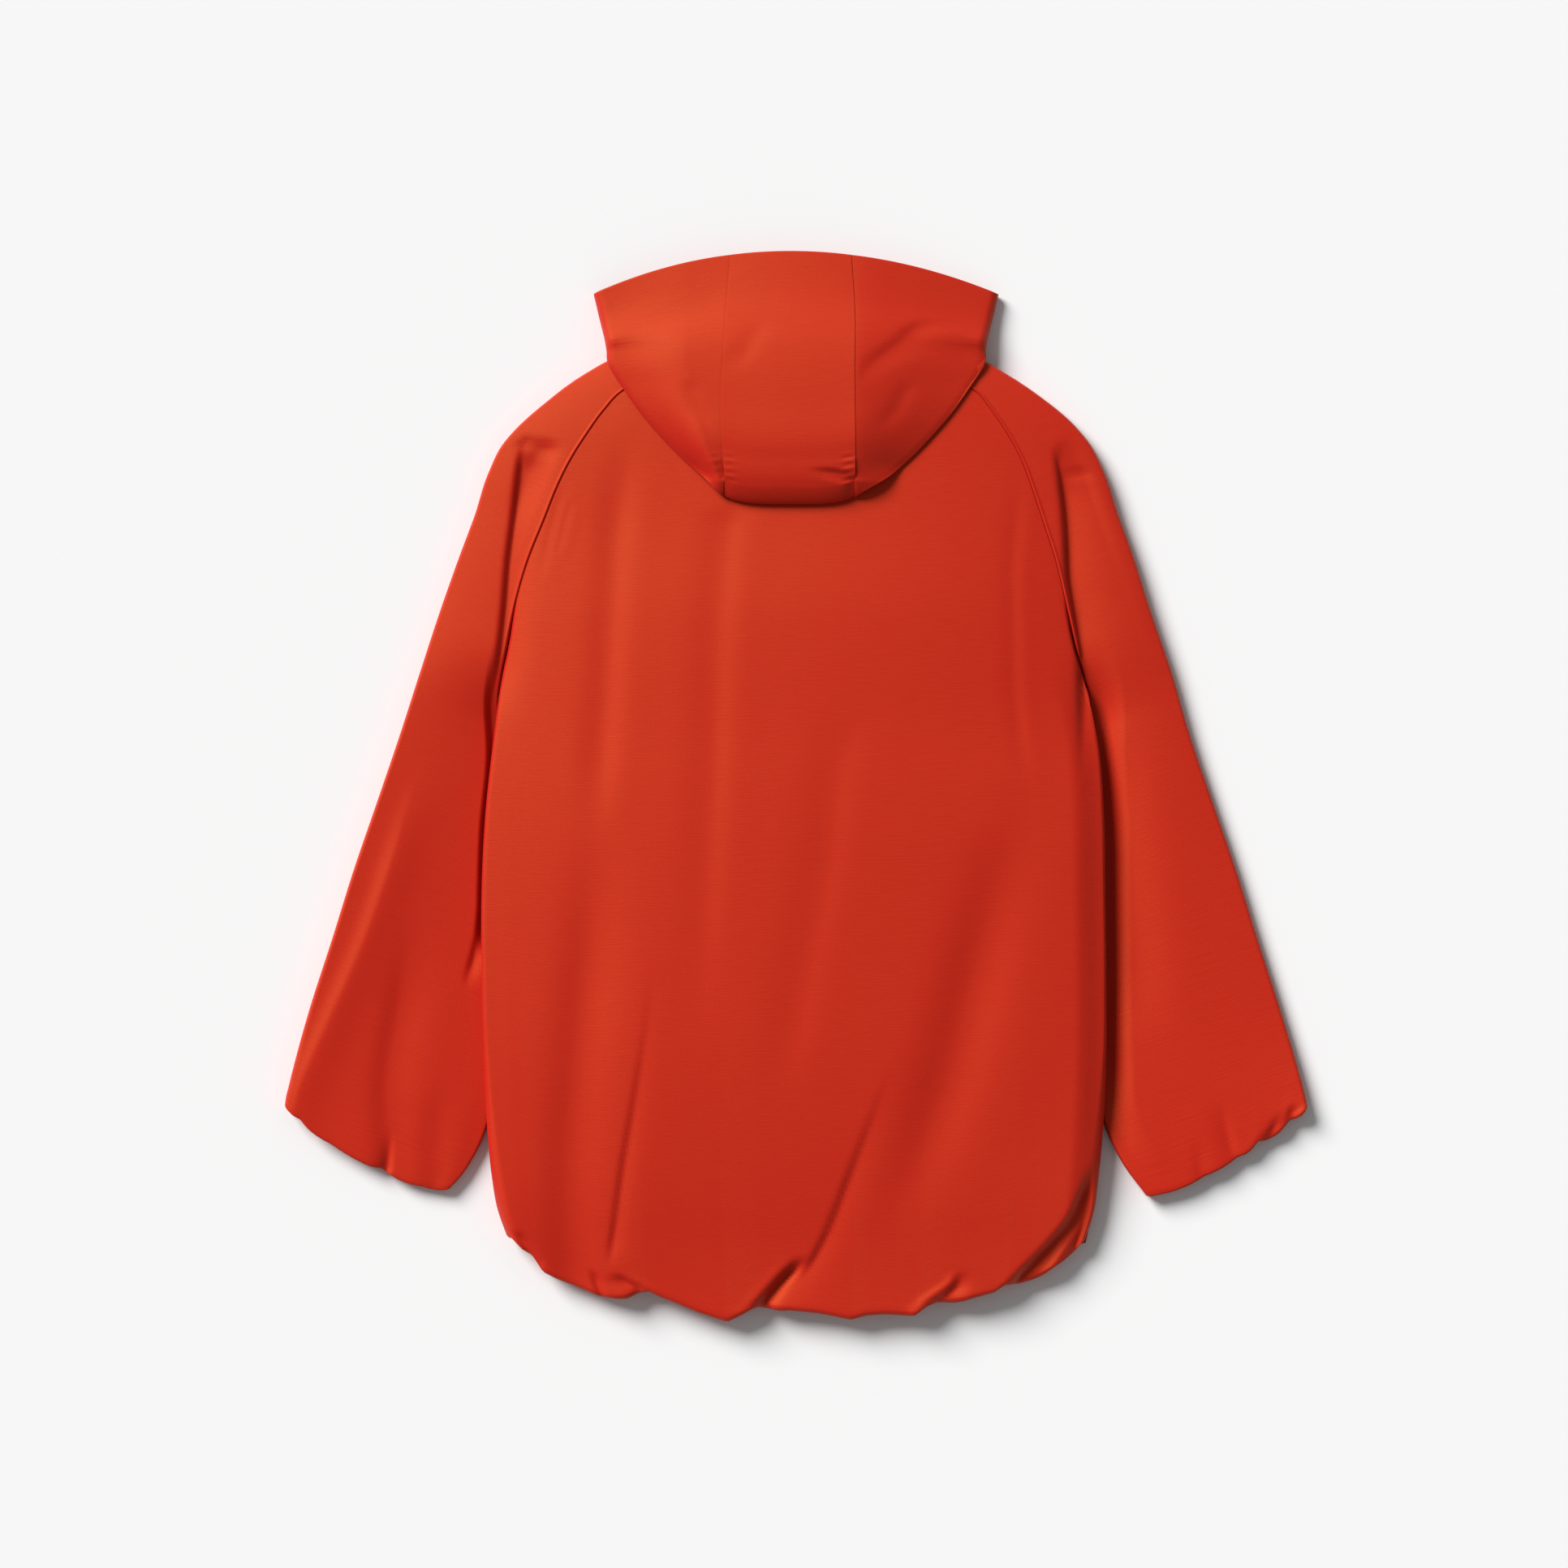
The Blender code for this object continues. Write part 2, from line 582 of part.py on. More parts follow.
def hood_side(side):
    place = HOOD_PLACES[:, None]
    get = {name: hood_station(name, place) for name in HOOD_SIDE}
    shift = HOOD_SHIFT * ramp(place, 6, 7)
    strip_x = STRIP["left" if side < 0 else "right"]
    seam_x = curve(get["seam_y"], STRIP["y"], strip_x) + side * SEAM_GAP / 2
    fold_x = side * get["fold_x"] + HOOD_SHIFT * ramp(place, 10, 11)
    mid_x = side * get["mid_x"] + shift
    end_x = side * get["end_x"] + shift
    over = ramp(place, 5, 5.6)
    across = fold_x - seam_x
    down = get["fold_y"] - get["seam_y"]
    width = np.hypot(across, down)
    half = np.minimum(HOOD_ROUND, 0.5 * width)
    steps, flat = 4, 6
    share = np.linspace(0, 1, flat + 1)[:-1]
    turn = np.linspace(np.pi / 2, 0, steps + 1)
    part = np.concatenate([(1 - half / width) * share, 1 - half / width * (1 - np.cos(turn))], axis=1)
    x_top = seam_x + across * part
    y_top = get["seam_y"] + down * part
    seam_top = curve(get["seam_y"], HOOD_TOP["y"], HOOD_TOP["z"])
    low = get["fold_z"] * (1 - over) + over * cover(fold_x, get["fold_y"])
    high = low + get["thick"]
    middle = (low + high) / 2
    level = seam_top + (high - seam_top) * ramp(part, 0, 1) ** 1.3
    rise = np.concatenate([np.ones(flat), np.sin(turn)])
    z_top = middle + (level - middle) * rise
    top = np.stack([x_top, y_top, z_top], axis=2)
    t = np.linspace(0, 1, flat + 1)
    w0, w1, w2 = 2 * (t - 0.5) * (t - 1), 4 * t * (1 - t), 2 * t * (t - 0.5)
    start = HOOD_ROUND / np.hypot(fold_x - end_x, get["fold_y"] - get["end_y"])
    away_x = fold_x + (mid_x - fold_x) * np.minimum(2 * start, 0.4)
    away_y = get["fold_y"] + (get["mid_y"] - get["fold_y"]) * np.minimum(2 * start, 0.4)
    x_low = away_x * w0 + mid_x * w1 + end_x * w2
    y_low = away_y * w0 + get["mid_y"] * w1 + get["end_y"] * w2
    z_low = low * w0 + get["mid_z"] * w1 + get["end_z"] * w2
    z_low = z_low * (1 - over) + over * cover(x_low, y_low)
    z_low = z_low + HOOD_CLEAR * ramp(np.abs(place - 5.6), 0.9, 0.4)
    down_turn = turn[::-1][1:-1]
    bend_x = fold_x + (away_x - fold_x) * (1 - np.cos(down_turn))
    bend_y = get["fold_y"] + (away_y - get["fold_y"]) * (1 - np.cos(down_turn))
    bend_z = middle - (middle - z_low[:, :1]) * np.sin(down_turn)
    bend = np.stack([bend_x, bend_y, bend_z], axis=2)
    under = np.stack([x_low, y_low, np.maximum(z_low, 0)], axis=2)
    points = np.concatenate([top, bend, under], axis=1)
    if side < 0:
        points = points[:, ::-1]
    normal = flat_in_x(grid_normals(points), np.s_[:, [0, -1]])
    return points, flat_in_x(normal, np.s_[-1:, :])


def add_prism(name, outline, y_low, y_high, colour, roughness, metallic=0.0):
    """A straight piece along Y with this outline in X and Z."""
    count = len(outline)
    points = [(x, y_high, z) for x, z in outline] + [(x, y_low, z) for x, z in outline]
    faces = [list(range(count))[::-1], list(range(count, 2 * count))]
    faces += [[i, (i + 1) % count, (i + 1) % count + count, i + count] for i in range(count)]
    mesh = bpy.data.meshes.new(name)
    mesh.from_pydata((np.array(points) * METRES).tolist(), [], faces)
    obj = bpy.data.objects.new(name, mesh)
    bpy.context.scene.collection.objects.link(obj)
    finish(obj, colour, roughness, metallic)
    return obj


def clear_scene():
    for obj in list(bpy.data.objects):
        bpy.data.objects.remove(obj, do_unlink=True)


def build():
    clear_scene()
    back, back_normal = body_back()
    left, left_normal = body_front(-1)
    right, right_normal = body_front(1)
    panels = (
        ("back", back, back_normal),
        ("front_left", left, left_normal),
        ("front_right", right, right_normal),
    )
    for name, sheet, normal in panels:
        whole = turned_in(sheet, normal, HEM_ROLL, HEM_PLACES)
        add_wall(name, whole, whole_normals(whole, normal), RED)
    ring = np.concatenate([left, back, right], axis=1)
    ring_normal = np.concatenate([left_normal, back_normal, right_normal], axis=1)
    band = inside_rows(ring, ring_normal, HEM_ROLL + BAND_STEP, BAND_PLACES)
    add_wall("hem_band", band, grid_normals(band), DARK_RED)
    for side, word in ((-1, "left"), (1, "right")):
        sheet, normal = sleeve(side)
        whole = turned_in(sheet, normal, CUFF_ROLL, HEM_PLACES)
        add_wall("sleeve_" + word, whole, whole_normals(whole, normal), RED)
        band = inside_rows(sheet, normal, CUFF_ROLL, CUFF_BAND_PLACES)
        add_wall("cuff_band_" + word, band, grid_normals(band), DARK_RED)
        add_wall("hood_" + word, *hood_side(side), RED)
    add_wall("hood_centre", *hood_strip(), RED)
    tape = ((-14, 2.4), (-3, 2.4), (-3, 1.6), (3, 1.6), (3, 2.4), (14, 2.4), (14, 3.2), (-14, 3.2))
    add_prism("front_zip", tape, -458, 418, DARK_RED, 0.5)
    add_prism("zip_slider", ((-3.4, 0.3), (3.4, 0.3), (3.4, 1.2), (-3.4, 1.2)), 396, 407, NICKEL, 0.3, 1.0)
    add_prism("zip_pull", ((-2.5, 0.3), (2.5, 0.3), (2.5, 1.1), (-2.5, 1.1)), 361, 395.6, DARK_RED, 0.6)


build()
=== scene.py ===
import bpy
import numpy as np
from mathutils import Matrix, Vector


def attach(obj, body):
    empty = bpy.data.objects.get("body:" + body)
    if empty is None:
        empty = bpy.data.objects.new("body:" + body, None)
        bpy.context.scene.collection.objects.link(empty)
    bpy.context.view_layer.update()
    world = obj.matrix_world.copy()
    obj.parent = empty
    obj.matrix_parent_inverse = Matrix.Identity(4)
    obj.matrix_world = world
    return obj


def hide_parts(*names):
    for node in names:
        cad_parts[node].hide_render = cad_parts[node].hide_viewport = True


# Hooded raglan jacket in orange-red canvas, laid flat with its back up.
# X runs across the jacket, Y from the hem to the hood, Z up. Shapes are worked out in millimetres.

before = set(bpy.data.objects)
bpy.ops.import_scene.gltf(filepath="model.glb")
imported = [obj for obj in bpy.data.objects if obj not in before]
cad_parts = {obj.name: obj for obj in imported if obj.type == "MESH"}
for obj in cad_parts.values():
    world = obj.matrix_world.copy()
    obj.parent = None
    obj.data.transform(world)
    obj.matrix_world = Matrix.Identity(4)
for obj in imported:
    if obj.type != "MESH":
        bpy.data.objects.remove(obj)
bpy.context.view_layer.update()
mm = 0.001
sides = {-1: "left", 1: "right"}  # as seen from above


def table(names, *rows):
    # one array for each named column
    return dict(zip(names.split(), np.array(rows, float).T))


def curve(at, xs, ys):
    # cubic Hermite through the points: the slope at each is the mean of its neighbours'
    order = np.argsort(xs)
    xs = np.asarray(xs, float)[order]
    ys = np.asarray(ys, float)[order]
    slope = np.gradient(ys, xs)
    at = np.clip(at, xs[0], xs[-1])
    i = np.clip(np.searchsorted(xs, at) - 1, 0, len(xs) - 2)
    span = xs[i + 1] - xs[i]
    t = (at - xs[i]) / span
    start = (2 * t**3 - 3 * t**2 + 1) * ys[i] + (t**3 - 2 * t**2 + t) * span * slope[i]
    return start + (3 * t**2 - 2 * t**3) * ys[i + 1] + (t**3 - t**2) * span * slope[i + 1]


def columnAt(rows, name, place):
    # a column of a table, read at a place along its first one
    return curve(place, next(iter(rows.values())), rows[name])


def ramp(value, start, end):
    # smoothstep: 0 before start, 1 after end
    t = np.clip((value - start) / (end - start), 0, 1)
    return t * t * (3 - 2 * t)


def fold(path, wide, deep, fade=(0.25, 0.25), power=2.0, ridge=0.0, side=1):
    # wide: left and right; fade: the share of the path over which each end dies away, 0 where it runs on;
    # the ridge stands two widths away, at side 1 (right) or -1 (left)
    return dict(path=path, wide=wide, deep=deep, fade=fade, power=power, ridge=ridge, side=side)


foldShape = {"ridgeSpread": 1.5, "slopeStep": 2.0}


def foldHeight(x, y, folds):
    # each fold runs down its path; a is the distance across it in its own widths, left and right
    # height = ridge * exp(-(a - 2 side)^2 / spread) - depth * exp(-|a|^power), faded at its ends
    height = np.zeros(np.broadcast(x, y).shape)
    step = foldShape["slopeStep"]
    for each in folds:
        px, py = np.array(each["path"], float).T
        slope = (curve(y + step, py, px) - curve(y - step, py, px)) / (2 * step)
        away = (x - curve(y, py, px)) / np.sqrt(1 + slope**2)
        left, right = each["wide"]
        a = np.where(away < 0, away / left, away / right)
        t = (py[0] - y) / (py[0] - py[-1])
        start, end = each["fade"]
        fade = ramp(t, 0, start) * (ramp(t, 1, 1 - end) if end else 1)
        trough = np.exp(-np.abs(a) ** each["power"])
        beside = np.exp(-((a - 2 * each["side"]) ** 2) / foldShape["ridgeSpread"])
        height += fade * (each["ridge"] * beside - each["deep"] * trough)
    return height


def unit(vectors):
    # each vector divided by its length
    return vectors / np.maximum(np.linalg.norm(vectors, axis=-1, keepdims=True), 1e-9)


def grid(x, y, z):
    # a point of space for each row and column
    return np.stack(np.broadcast_arrays(x, y, z), axis=2)


def gridNormals(points):
    # cross product of the steps down the columns and along the rows, made one long
    return unit(np.cross(np.gradient(points, axis=0), np.gradient(points, axis=1)))


def runningSum(values, reach):
    # the sum of each row and its neighbours up to reach away, with the end rows repeated
    padded = np.pad(values, ((reach, reach), (0, 0)), mode="edge")
    return sum(padded[i:i + len(values)] for i in range(2 * reach + 1))


def arcLength(line):
    # running sum of the steps from point to point
    return np.concatenate([[0], np.cumsum(np.linalg.norm(np.diff(line, axis=0), axis=1))])


def addObject(name, data):
    # puts a mesh, light or camera into the scene
    obj = bpy.data.objects.new(name, data)
    bpy.context.scene.collection.objects.link(obj)
    return obj


def addGrid(name, points, wall, material, closed=False):
    # a mesh of quads on a grid, with arc lengths in metres as UV and its wall inside
    rows, columns = points.shape[:2]
    number = np.arange(rows * columns).reshape(rows, columns)
    if closed:
        number = np.concatenate([number, number[:, :1]], axis=1)
    corners = (number[:-1, :-1], number[1:, :-1], number[1:, 1:], number[:-1, 1:])
    quads = np.stack(corners, axis=2).reshape(-1, 4)
    mesh = bpy.data.meshes.new(name)
    mesh.vertices.add(rows * columns)
    mesh.vertices.foreach_set("co", (points * mm).ravel())
    mesh.loops.add(quads.size)
    mesh.loops.foreach_set("vertex_index", quads.ravel())
    mesh.polygons.add(len(quads))
    mesh.polygons.foreach_set("loop_start", np.arange(0, quads.size, 4))
    mesh.update(calc_edges=True)
    mesh.shade_smooth()
    middleRow = points[rows // 3]
    middleColumn = points[:, columns // 2]
    u, v = arcLength(middleRow) * mm, arcLength(middleColumn) * mm
    if closed:
        u = np.append(u, u[-1] + (u[-1] - u[-2]))
    uGrid, vGrid = np.broadcast_arrays(u[None, :], v[:, None])
    uv = np.stack([uGrid, vGrid], axis=2)
    pairs = (uv[:-1, :-1], uv[1:, :-1], uv[1:, 1:], uv[:-1, 1:])
    layer = mesh.uv_layers.new(name="clothUV")
    layer.data.foreach_set("uv", np.stack(pairs, axis=2).ravel())
    mesh.materials.append(material)
    obj = addObject(name, mesh)
    if wall:
        solid = obj.modifiers.new("wall", "SOLIDIFY")
        solid.thickness = wall * mm
        solid.offset = -1
        solid.use_even_offset = False
    return obj


canvasLook = {
    "colour": (0.540, 0.0080, 0.0078),
    "deepColour": (0.508, 0.0066, 0.0070),
    "roughness": 0.55,
    "gloss": 0.50,
    "glossTint": (0.45, 0.76, 0.17),
    "sheen": 0.05,
    "sheenRoughness": 0.45,
    "sheenTint": (1.0, 0.45, 0.25),
    "thread": 0.00055,  # metres from one thread to the next
    "slub": 0.022,  # metres, length of the threads' thick places
    "slubWidth": 1.9,  # their width, in threads
    "slubReach": (0.25, 0.6),  # noise at which they begin to darken, and are darkest
    "weaveShare": 0.5,  # height of the weave beside that of the slubs
    "bump": 0.30,
    "bumpHeight": 0.0006,
}


def newSocket(group, name, direction, value=0.0):
    # a number that goes into a node group or comes out of it
    socket = group.interface.new_socket(name=name, in_out=direction, socket_type="NodeSocketFloat")
    socket.default_value = value


def link(tree, source, output, target, socket):
    # joins two nodes by the names of their sockets
    tree.links.new(source.outputs[output], target.inputs[socket])


def setInputs(node, values):
    # plain numbers and colours for a node's inputs, by their names
    for name, value in values.items():
        node.inputs[name].default_value = value


def newNode(tree, kind, inputs=None):
    # a node with the inputs that it is given
    node = tree.nodes.new("ShaderNode" + kind)
    setInputs(node, inputs or {})
    return node


def mathNode(tree, operation, *values):
    # one step of arithmetic on numbers and sockets
    node = newNode(tree, "Math")
    node.operation = operation
    for i, value in enumerate(values):
        if isinstance(value, (int, float)):
            node.inputs[i].default_value = value
        else:
            tree.links.new(value, node.inputs[i])
    return node.outputs[0]


def weaveGroup():
    # plain weave from the cloth's UV: height = |sin(pi u / thread) * sin(pi v / thread)|
    # slub = noise stretched along the weft, of u / slub length and v / (thread * slub width)
    group = bpy.data.node_groups.new("plainWeave", "ShaderNodeTree")
    newSocket(group, "Thread", "INPUT", canvasLook["thread"])
    newSocket(group, "Slub length", "INPUT", canvasLook["slub"])
    newSocket(group, "Slub width", "INPUT", canvasLook["slubWidth"])
    newSocket(group, "Height", "OUTPUT")
    newSocket(group, "Slub", "OUTPUT")
    asked = group.nodes.new("NodeGroupInput").outputs
    given = group.nodes.new("NodeGroupOutput").inputs
    coords = newNode(group, "TexCoord")
    split = newNode(group, "SeparateXYZ")
    link(group, coords, "UV", split, "Vector")
    u, v = split.outputs["X"], split.outputs["Y"]
    turns = mathNode(group, "DIVIDE", np.pi, asked["Thread"])
    warp = mathNode(group, "SINE", mathNode(group, "MULTIPLY", u, turns))
    weft = mathNode(group, "SINE", mathNode(group, "MULTIPLY", v, turns))
    height = mathNode(group, "ABSOLUTE", mathNode(group, "MULTIPLY", warp, weft))
    group.links.new(height, given["Height"])
    stretch = newNode(group, "CombineXYZ")
    down = mathNode(group, "MULTIPLY", asked["Thread"], asked["Slub width"])
    group.links.new(mathNode(group, "DIVIDE", u, asked["Slub length"]), stretch.inputs["X"])
    group.links.new(mathNode(group, "DIVIDE", v, down), stretch.inputs["Y"])
    noise = newNode(group, "TexNoise", {"Scale": 1.0, "Detail": 2.0})
    link(group, stretch, "Vector", noise, "Vector")
    group.links.new(noise.outputs["Fac"], given["Slub"])
    return group


plainWeave = weaveGroup()


def newMaterial(name):
    # a material, its node tree and its shader
    material = bpy.data.materials.new(name)
    material.use_nodes = True
    return material, material.node_tree, material.node_tree.nodes["Principled BSDF"]


def clothMaterial(name, look):
    # colour = base, darkened by the slubs; bump = weaveShare * weave + slubs
    material, tree, shader = newMaterial(name)
    weave = newNode(tree, "Group")
    weave.node_tree = plainWeave
    setInputs(weave, {"Thread": look["thread"], "Slub length": look["slub"], "Slub width": look["slubWidth"]})
    mixSlub = newNode(tree, "Mix")
    mixSlub.data_type = "RGBA"
    setInputs(mixSlub, {"A": (*look["deepColour"], 1), "B": (*look["colour"], 1)})
    reach = newNode(tree, "MapRange", {"From Min": look["slubReach"][0], "From Max": look["slubReach"][1]})
    link(tree, weave, "Slub", reach, "Value")
    link(tree, reach, "Result", mixSlub, "Factor")
    tree.links.new(mixSlub.outputs["Result"], shader.inputs["Base Color"])
    woven = mathNode(tree, "MULTIPLY", weave.outputs["Height"], look["weaveShare"])
    bump = newNode(tree, "Bump", {"Strength": look["bump"], "Distance": look["bumpHeight"]})
    tree.links.new(mathNode(tree, "ADD", woven, weave.outputs["Slub"]), bump.inputs["Height"])
    link(tree, bump, "Normal", shader, "Normal")
    setInputs(shader, {
        "Roughness": look["roughness"],
        "Sheen Weight": look["sheen"],
        "Sheen Roughness": look["sheenRoughness"],
        "Sheen Tint": (*look["sheenTint"], 1),
        "Specular IOR Level": look["gloss"],
        "Specular Tint": (*look["glossTint"], 1),
    })
    return material


canvas = clothMaterial("orangeRedCanvas", canvasLook)
bandLook = dict(
    canvasLook, colour=(0.42, 0.02, 0.012), deepColour=(0.32, 0.014, 0.01), thread=0.0016, bump=0.5)
elastic = clothMaterial("elasticRibs", bandLook)
tapeLook = dict(
    canvasLook, colour=(0.46, 0.022, 0.012), deepColour=(0.38, 0.016, 0.01), thread=0.0008, bump=0.3)
tape = clothMaterial("zipTape", tapeLook)
coilLook = {
    "colour": (0.30, 0.014, 0.01),
    "rough": (0.28, 0.52),
    "metal": 0.0,
    "grain": 900.0,
    "bump": 0.12,
    "bumpHeight": 0.0002,
}
nickelLook = dict(coilLook, colour=(0.62, 0.60, 0.56), rough=(0.22, 0.46), metal=1.0, grain=2200.0)


def hardMaterial(name, look):
    # one colour; a fine noise moves its roughness between two values and gives the bump
    material, tree, shader = newMaterial(name)
    setInputs(shader, {"Base Color": (*look["colour"], 1), "Metallic": look["metal"]})
    coords = newNode(tree, "TexCoord")
    noise = newNode(tree, "TexNoise", {"Scale": look["grain"]})
    link(tree, coords, "Object", noise, "Vector")
    rough = newNode(tree, "MapRange", {"To Min": look["rough"][0], "To Max": look["rough"][1]})
    link(tree, noise, "Fac", rough, "Value")
    link(tree, rough, "Result", shader, "Roughness")
    bump = newNode(tree, "Bump", {"Strength": look["bump"], "Distance": look["bumpHeight"]})
    link(tree, noise, "Fac", bump, "Height")
    link(tree, bump, "Normal", shader, "Normal")
    return material


coil = hardMaterial("mouldedCoil", coilLook)
nickel = hardMaterial("satinNickel", nickelLook)
print("materials made")


body = {
    "wall": 0.9,
    "columns": 220,
    "rowSpacing": (5.0, 2.4),  # down the body, then over the hem
    "rowsY": (-360.0, -410.0),  # where the hem's rows begin, and the last row
    "roundSteps": 10,
    "shoulderEdge": 15.0,
    "shoulderRise": 13.0,
    "shoulderReach": 62.0,
    "settleIn": (5, 22),  # how far in from the sleeve's edge the folds begin
    "settleY": (400, 330),  # and how far below the neck
    "foldShare": (0.008, 0.05),  # share of the width over which they begin at the sides
    "hemFoldShare": 0.02,
    "domeY": (391, 150),
    "openLength": 130,  # how far below the underarm the body has its own section
    "rightLift": 5.0,
    "rightLiftY": (100, -60),
    "rightRoll": 6.5,  # how much lower the back's right edge lies, and over how far
    "rightReach": 30.0,
    "underarmY": 128.0,
    "underarmZ": 11.0,
    "seamFade": 45,  # how far above the underarm body and sleeve part
    "seamLift": 8.0,
    "seamLength": 50,  # how far below the underarm the side fold takes its height
    "hemSink": 5.0,
    "hemSinkY": (-320, -400),
    "hemCornerY": -415.0,
    "hemPower": 5,  # the hem's waves die away up the body by this power
    "hemRoll": 5.0,
    "turnedRows": 15,
    "neckTurn": (0, 0.1, 1.0),
    "seamGap": 0.3,
}

# the body's edges: raglan seams to the underarm, then side folds to the hem's corners
bodyEdge = table(
    "y left right",
    (391, -85, 88), (376, -124, 130), (361, -156, 161), (343, -174, 177), (321, -190, 192),
    (299, -204, 204), (273, -217, 214), (243, -229, 224), (206, -244, 236), (169, -255, 245),
    (128, -263, 254), (95, -269, 263), (36, -277, 276), (-31, -284, 281), (-97, -287, 282),
    (-171, -287, 283), (-245, -285, 283), (-312, -282, 280), (-356, -278, 276), (-386, -273, 272),
    (-415, -263, 262.5),
)
# the body's section: height at the middle and the sides, and how far the side folds round in
bodySection = table(
    "y crown edge round",
    (391, 27, 27, 4), (250, 36, 25, 4), (128, 43.5, 24.5, 3), (40, 45, 27, 3), (-60, 44.5, 29.5, 3),
    (-170, 42.5, 30, 3), (-250, 40, 29.5, 4.5), (-312, 36, 28.5, 9), (-386, 29.5, 28, 15),
    (-415, 26.5, 26.5, 16), (-450, 24, 24, 16), (-490, 22.5, 22.5, 16),
)
# the back's gathered hem line, from left to right
hemLine = table(
    "x y",
    (-260, -414), (-250, -423), (-241, -428), (-236, -436), (-231, -444), (-216, -451), (-196, -459),
    (-179, -466), (-166, -468), (-152, -467), (-143, -463), (-134, -462), (-112, -471), (-88, -481),
    (-63, -489), (-48, -482), (-34, -477), (-8, -478), (20, -481), (50, -487), (64, -483), (80, -482),
    (108, -483), (120, -476), (128, -473), (154, -469), (181, -462), (190, -457), (204, -456), (223, -447),
    (243, -436), (254, -426), (261, -418),
)

# folds of the back and the shoulders: each path runs down the jacket
bodyFolds = [
    # long soft folds
    fold([(-154, 330), (-164, 230), (-170, 139), (-178, 20), (-184, -60)], (17, 13), 2.2, ridge=0.2),
    fold([(-180, 0), (-189, -157), (-197, -245), (-205, -352), (-204, -440)], (22, 26), 3.8, ridge=0.3,
         fade=(0.45, 0)),
    fold([(-60, 262), (-71, 162), (-75, 51), (-82, -97), (-90, -260)], (20, 13), 1.5, ridge=0.2,
         fade=(0.05, 0.5)),
    fold([(58, 90), (36, 14), (30, -46), (7, -171), (-16, -300)], (22, 16), 1.2, side=-1, ridge=0.2),
    fold([(205, 300), (201, 248), (197, 191), (198, 134), (199, 88), (212, -20)], (9, 6), 0.6, ridge=0.2),
    fold([(226, 30), (186, -80), (164, -164), (148, -231), (128, -300), (112, -350), (96, -395),
         (90, -440)], (26, 30), 4.4, ridge=0.3, fade=(0.5, 0.35)),
    # sharp creases that end in the hem's gathers: a steep left wall and a long right one
    fold([(-128, -150), (-138, -230), (-151, -308), (-157, -342), (-162, -376), (-167, -410), (-172, -440)],
         (1.8, 9), 2.5, power=1.2, fade=(0.75, 0.1)),
    fold([(92, -245), (76, -284), (60, -325), (45, -364), (31, -400), (21, -421), (10, -439), (-3, -453),
         (-34, -480)], (1.8, 13), 2.8, power=1.2, fade=(0.6, 0)),
]
hemFolds = [
    # the pocket beside the middle bubble, and the lip over the tucked bit to its left
    fold([(8, -428), (-2, -440), (-16, -456), (-40, -484)], (4.5, 5), 9.0, ridge=0.5, side=-1,
         fade=(0.35, 0), power=2.4),
    fold([(-163, -444), (-155, -452), (-145, -458), (-132, -468)], (6, 3), 4.0, ridge=0.6, fade=(0.3, 0),
         power=1.5),
    fold([(-186, -440), (-182, -452), (-177, -466)], (3, 4), 2.5, fade=(0.4, 0)),
    fold([(152, -440), (145, -456), (126, -472), (112, -485)], (3.5, 8), 3.4, ridge=1.6, side=-1,
         fade=(0.4, 0)),
    # the pleat at the right corner: the bubble's edge, a dark valley, a second ridge
    fold([(273, -343), (263, -372), (250, -398), (234, -418), (210, -443), (190, -464)], (4, 80), 9.5,
         fade=(0.3, 0), power=1.9),
    fold([(268, -386), (252, -412), (236, -434), (220, -452)], (3.5, 4), -1.6, fade=(0.4, 0)),
    # left corner
    fold([(-256, -404), (-247, -418), (-236, -434)], (4, 5), 2.5, ridge=0.8, side=-1, fade=(0.3, 0)),
]
shoulderFolds = [
    # the hollows outside both raglan seams, which grow into the gaps beside the body
    fold([(-250, 315), (-251, 293), (-255, 255), (-261, 208), (-265, 160), (-271, 111), (-282, 60),
         (-290, 20)], (3.4, 16), 5.4, power=1.7, fade=(0.1, 0.3)),
    fold([(-226, 313), (-236, 290), (-244, 262), (-250, 232)], (12, 12), 3.0, power=2.4, fade=(0.12, 0.6)),
    fold([(252, 323), (245, 313), (239, 300), (241, 285), (245, 255), (247, 227), (249, 189), (252, 170),
         (260, 122)], (2.6, 26), 8.0, power=1.3, fade=(0.3, 0)),
    fold([(-213, 275), (-219, 250), (-228, 215), (-233, 185)], (4, 5), 0.45, ridge=0.2),
    fold([(-205, 262), (-212, 236), (-219, 205)], (3, 4), 0.35, ridge=0.2),
]
# two soft wrinkles that run across: level at (x, y), half length, half height, depth
crossFolds = table(
    "x y long wide slope deep",
    (-240, 311, 19, 4.5, -0.16, 3.2),
    (262, 285, 17, 3.5, 0.12, 1.4),
)


def shoulderHeight(x, y):
    # edge + rise * (1 - exp(-distance in from the sleeve's edge / reach)), with the folds on it
    # a crossing wrinkle takes off depth * exp(-(along / length)^4) * exp(-(across / width)^2)
    left = curve(y, sleeveLeft["outerY"], sleeveLeft["outerX"])
    right = curve(y, sleeveRight["outerY"], sleeveRight["outerX"])
    inside = np.clip(np.minimum(x - left, right - x), 0, None)
    rise = body["shoulderRise"] * (1 - np.exp(-inside / body["shoulderReach"]))
    settle = ramp(inside, *body["settleIn"]) * ramp(y, *body["settleY"])
    folds = foldHeight(x, y, bodyFolds + shoulderFolds)
    for cx, cy, half, wide, slope, deep in zip(*crossFolds.values()):
        level = y - cy - slope * (x - cx)
        folds = folds - deep * np.exp(-(((x - cx) / half) ** 4)) * np.exp(-((level / wide) ** 2))
    return body["shoulderEdge"] + rise + settle * folds


def belowUnderarm(y):
    # 0 well above the underarm, 1 from it down
    return ramp(y, body["underarmY"] + body["seamFade"], body["underarmY"])


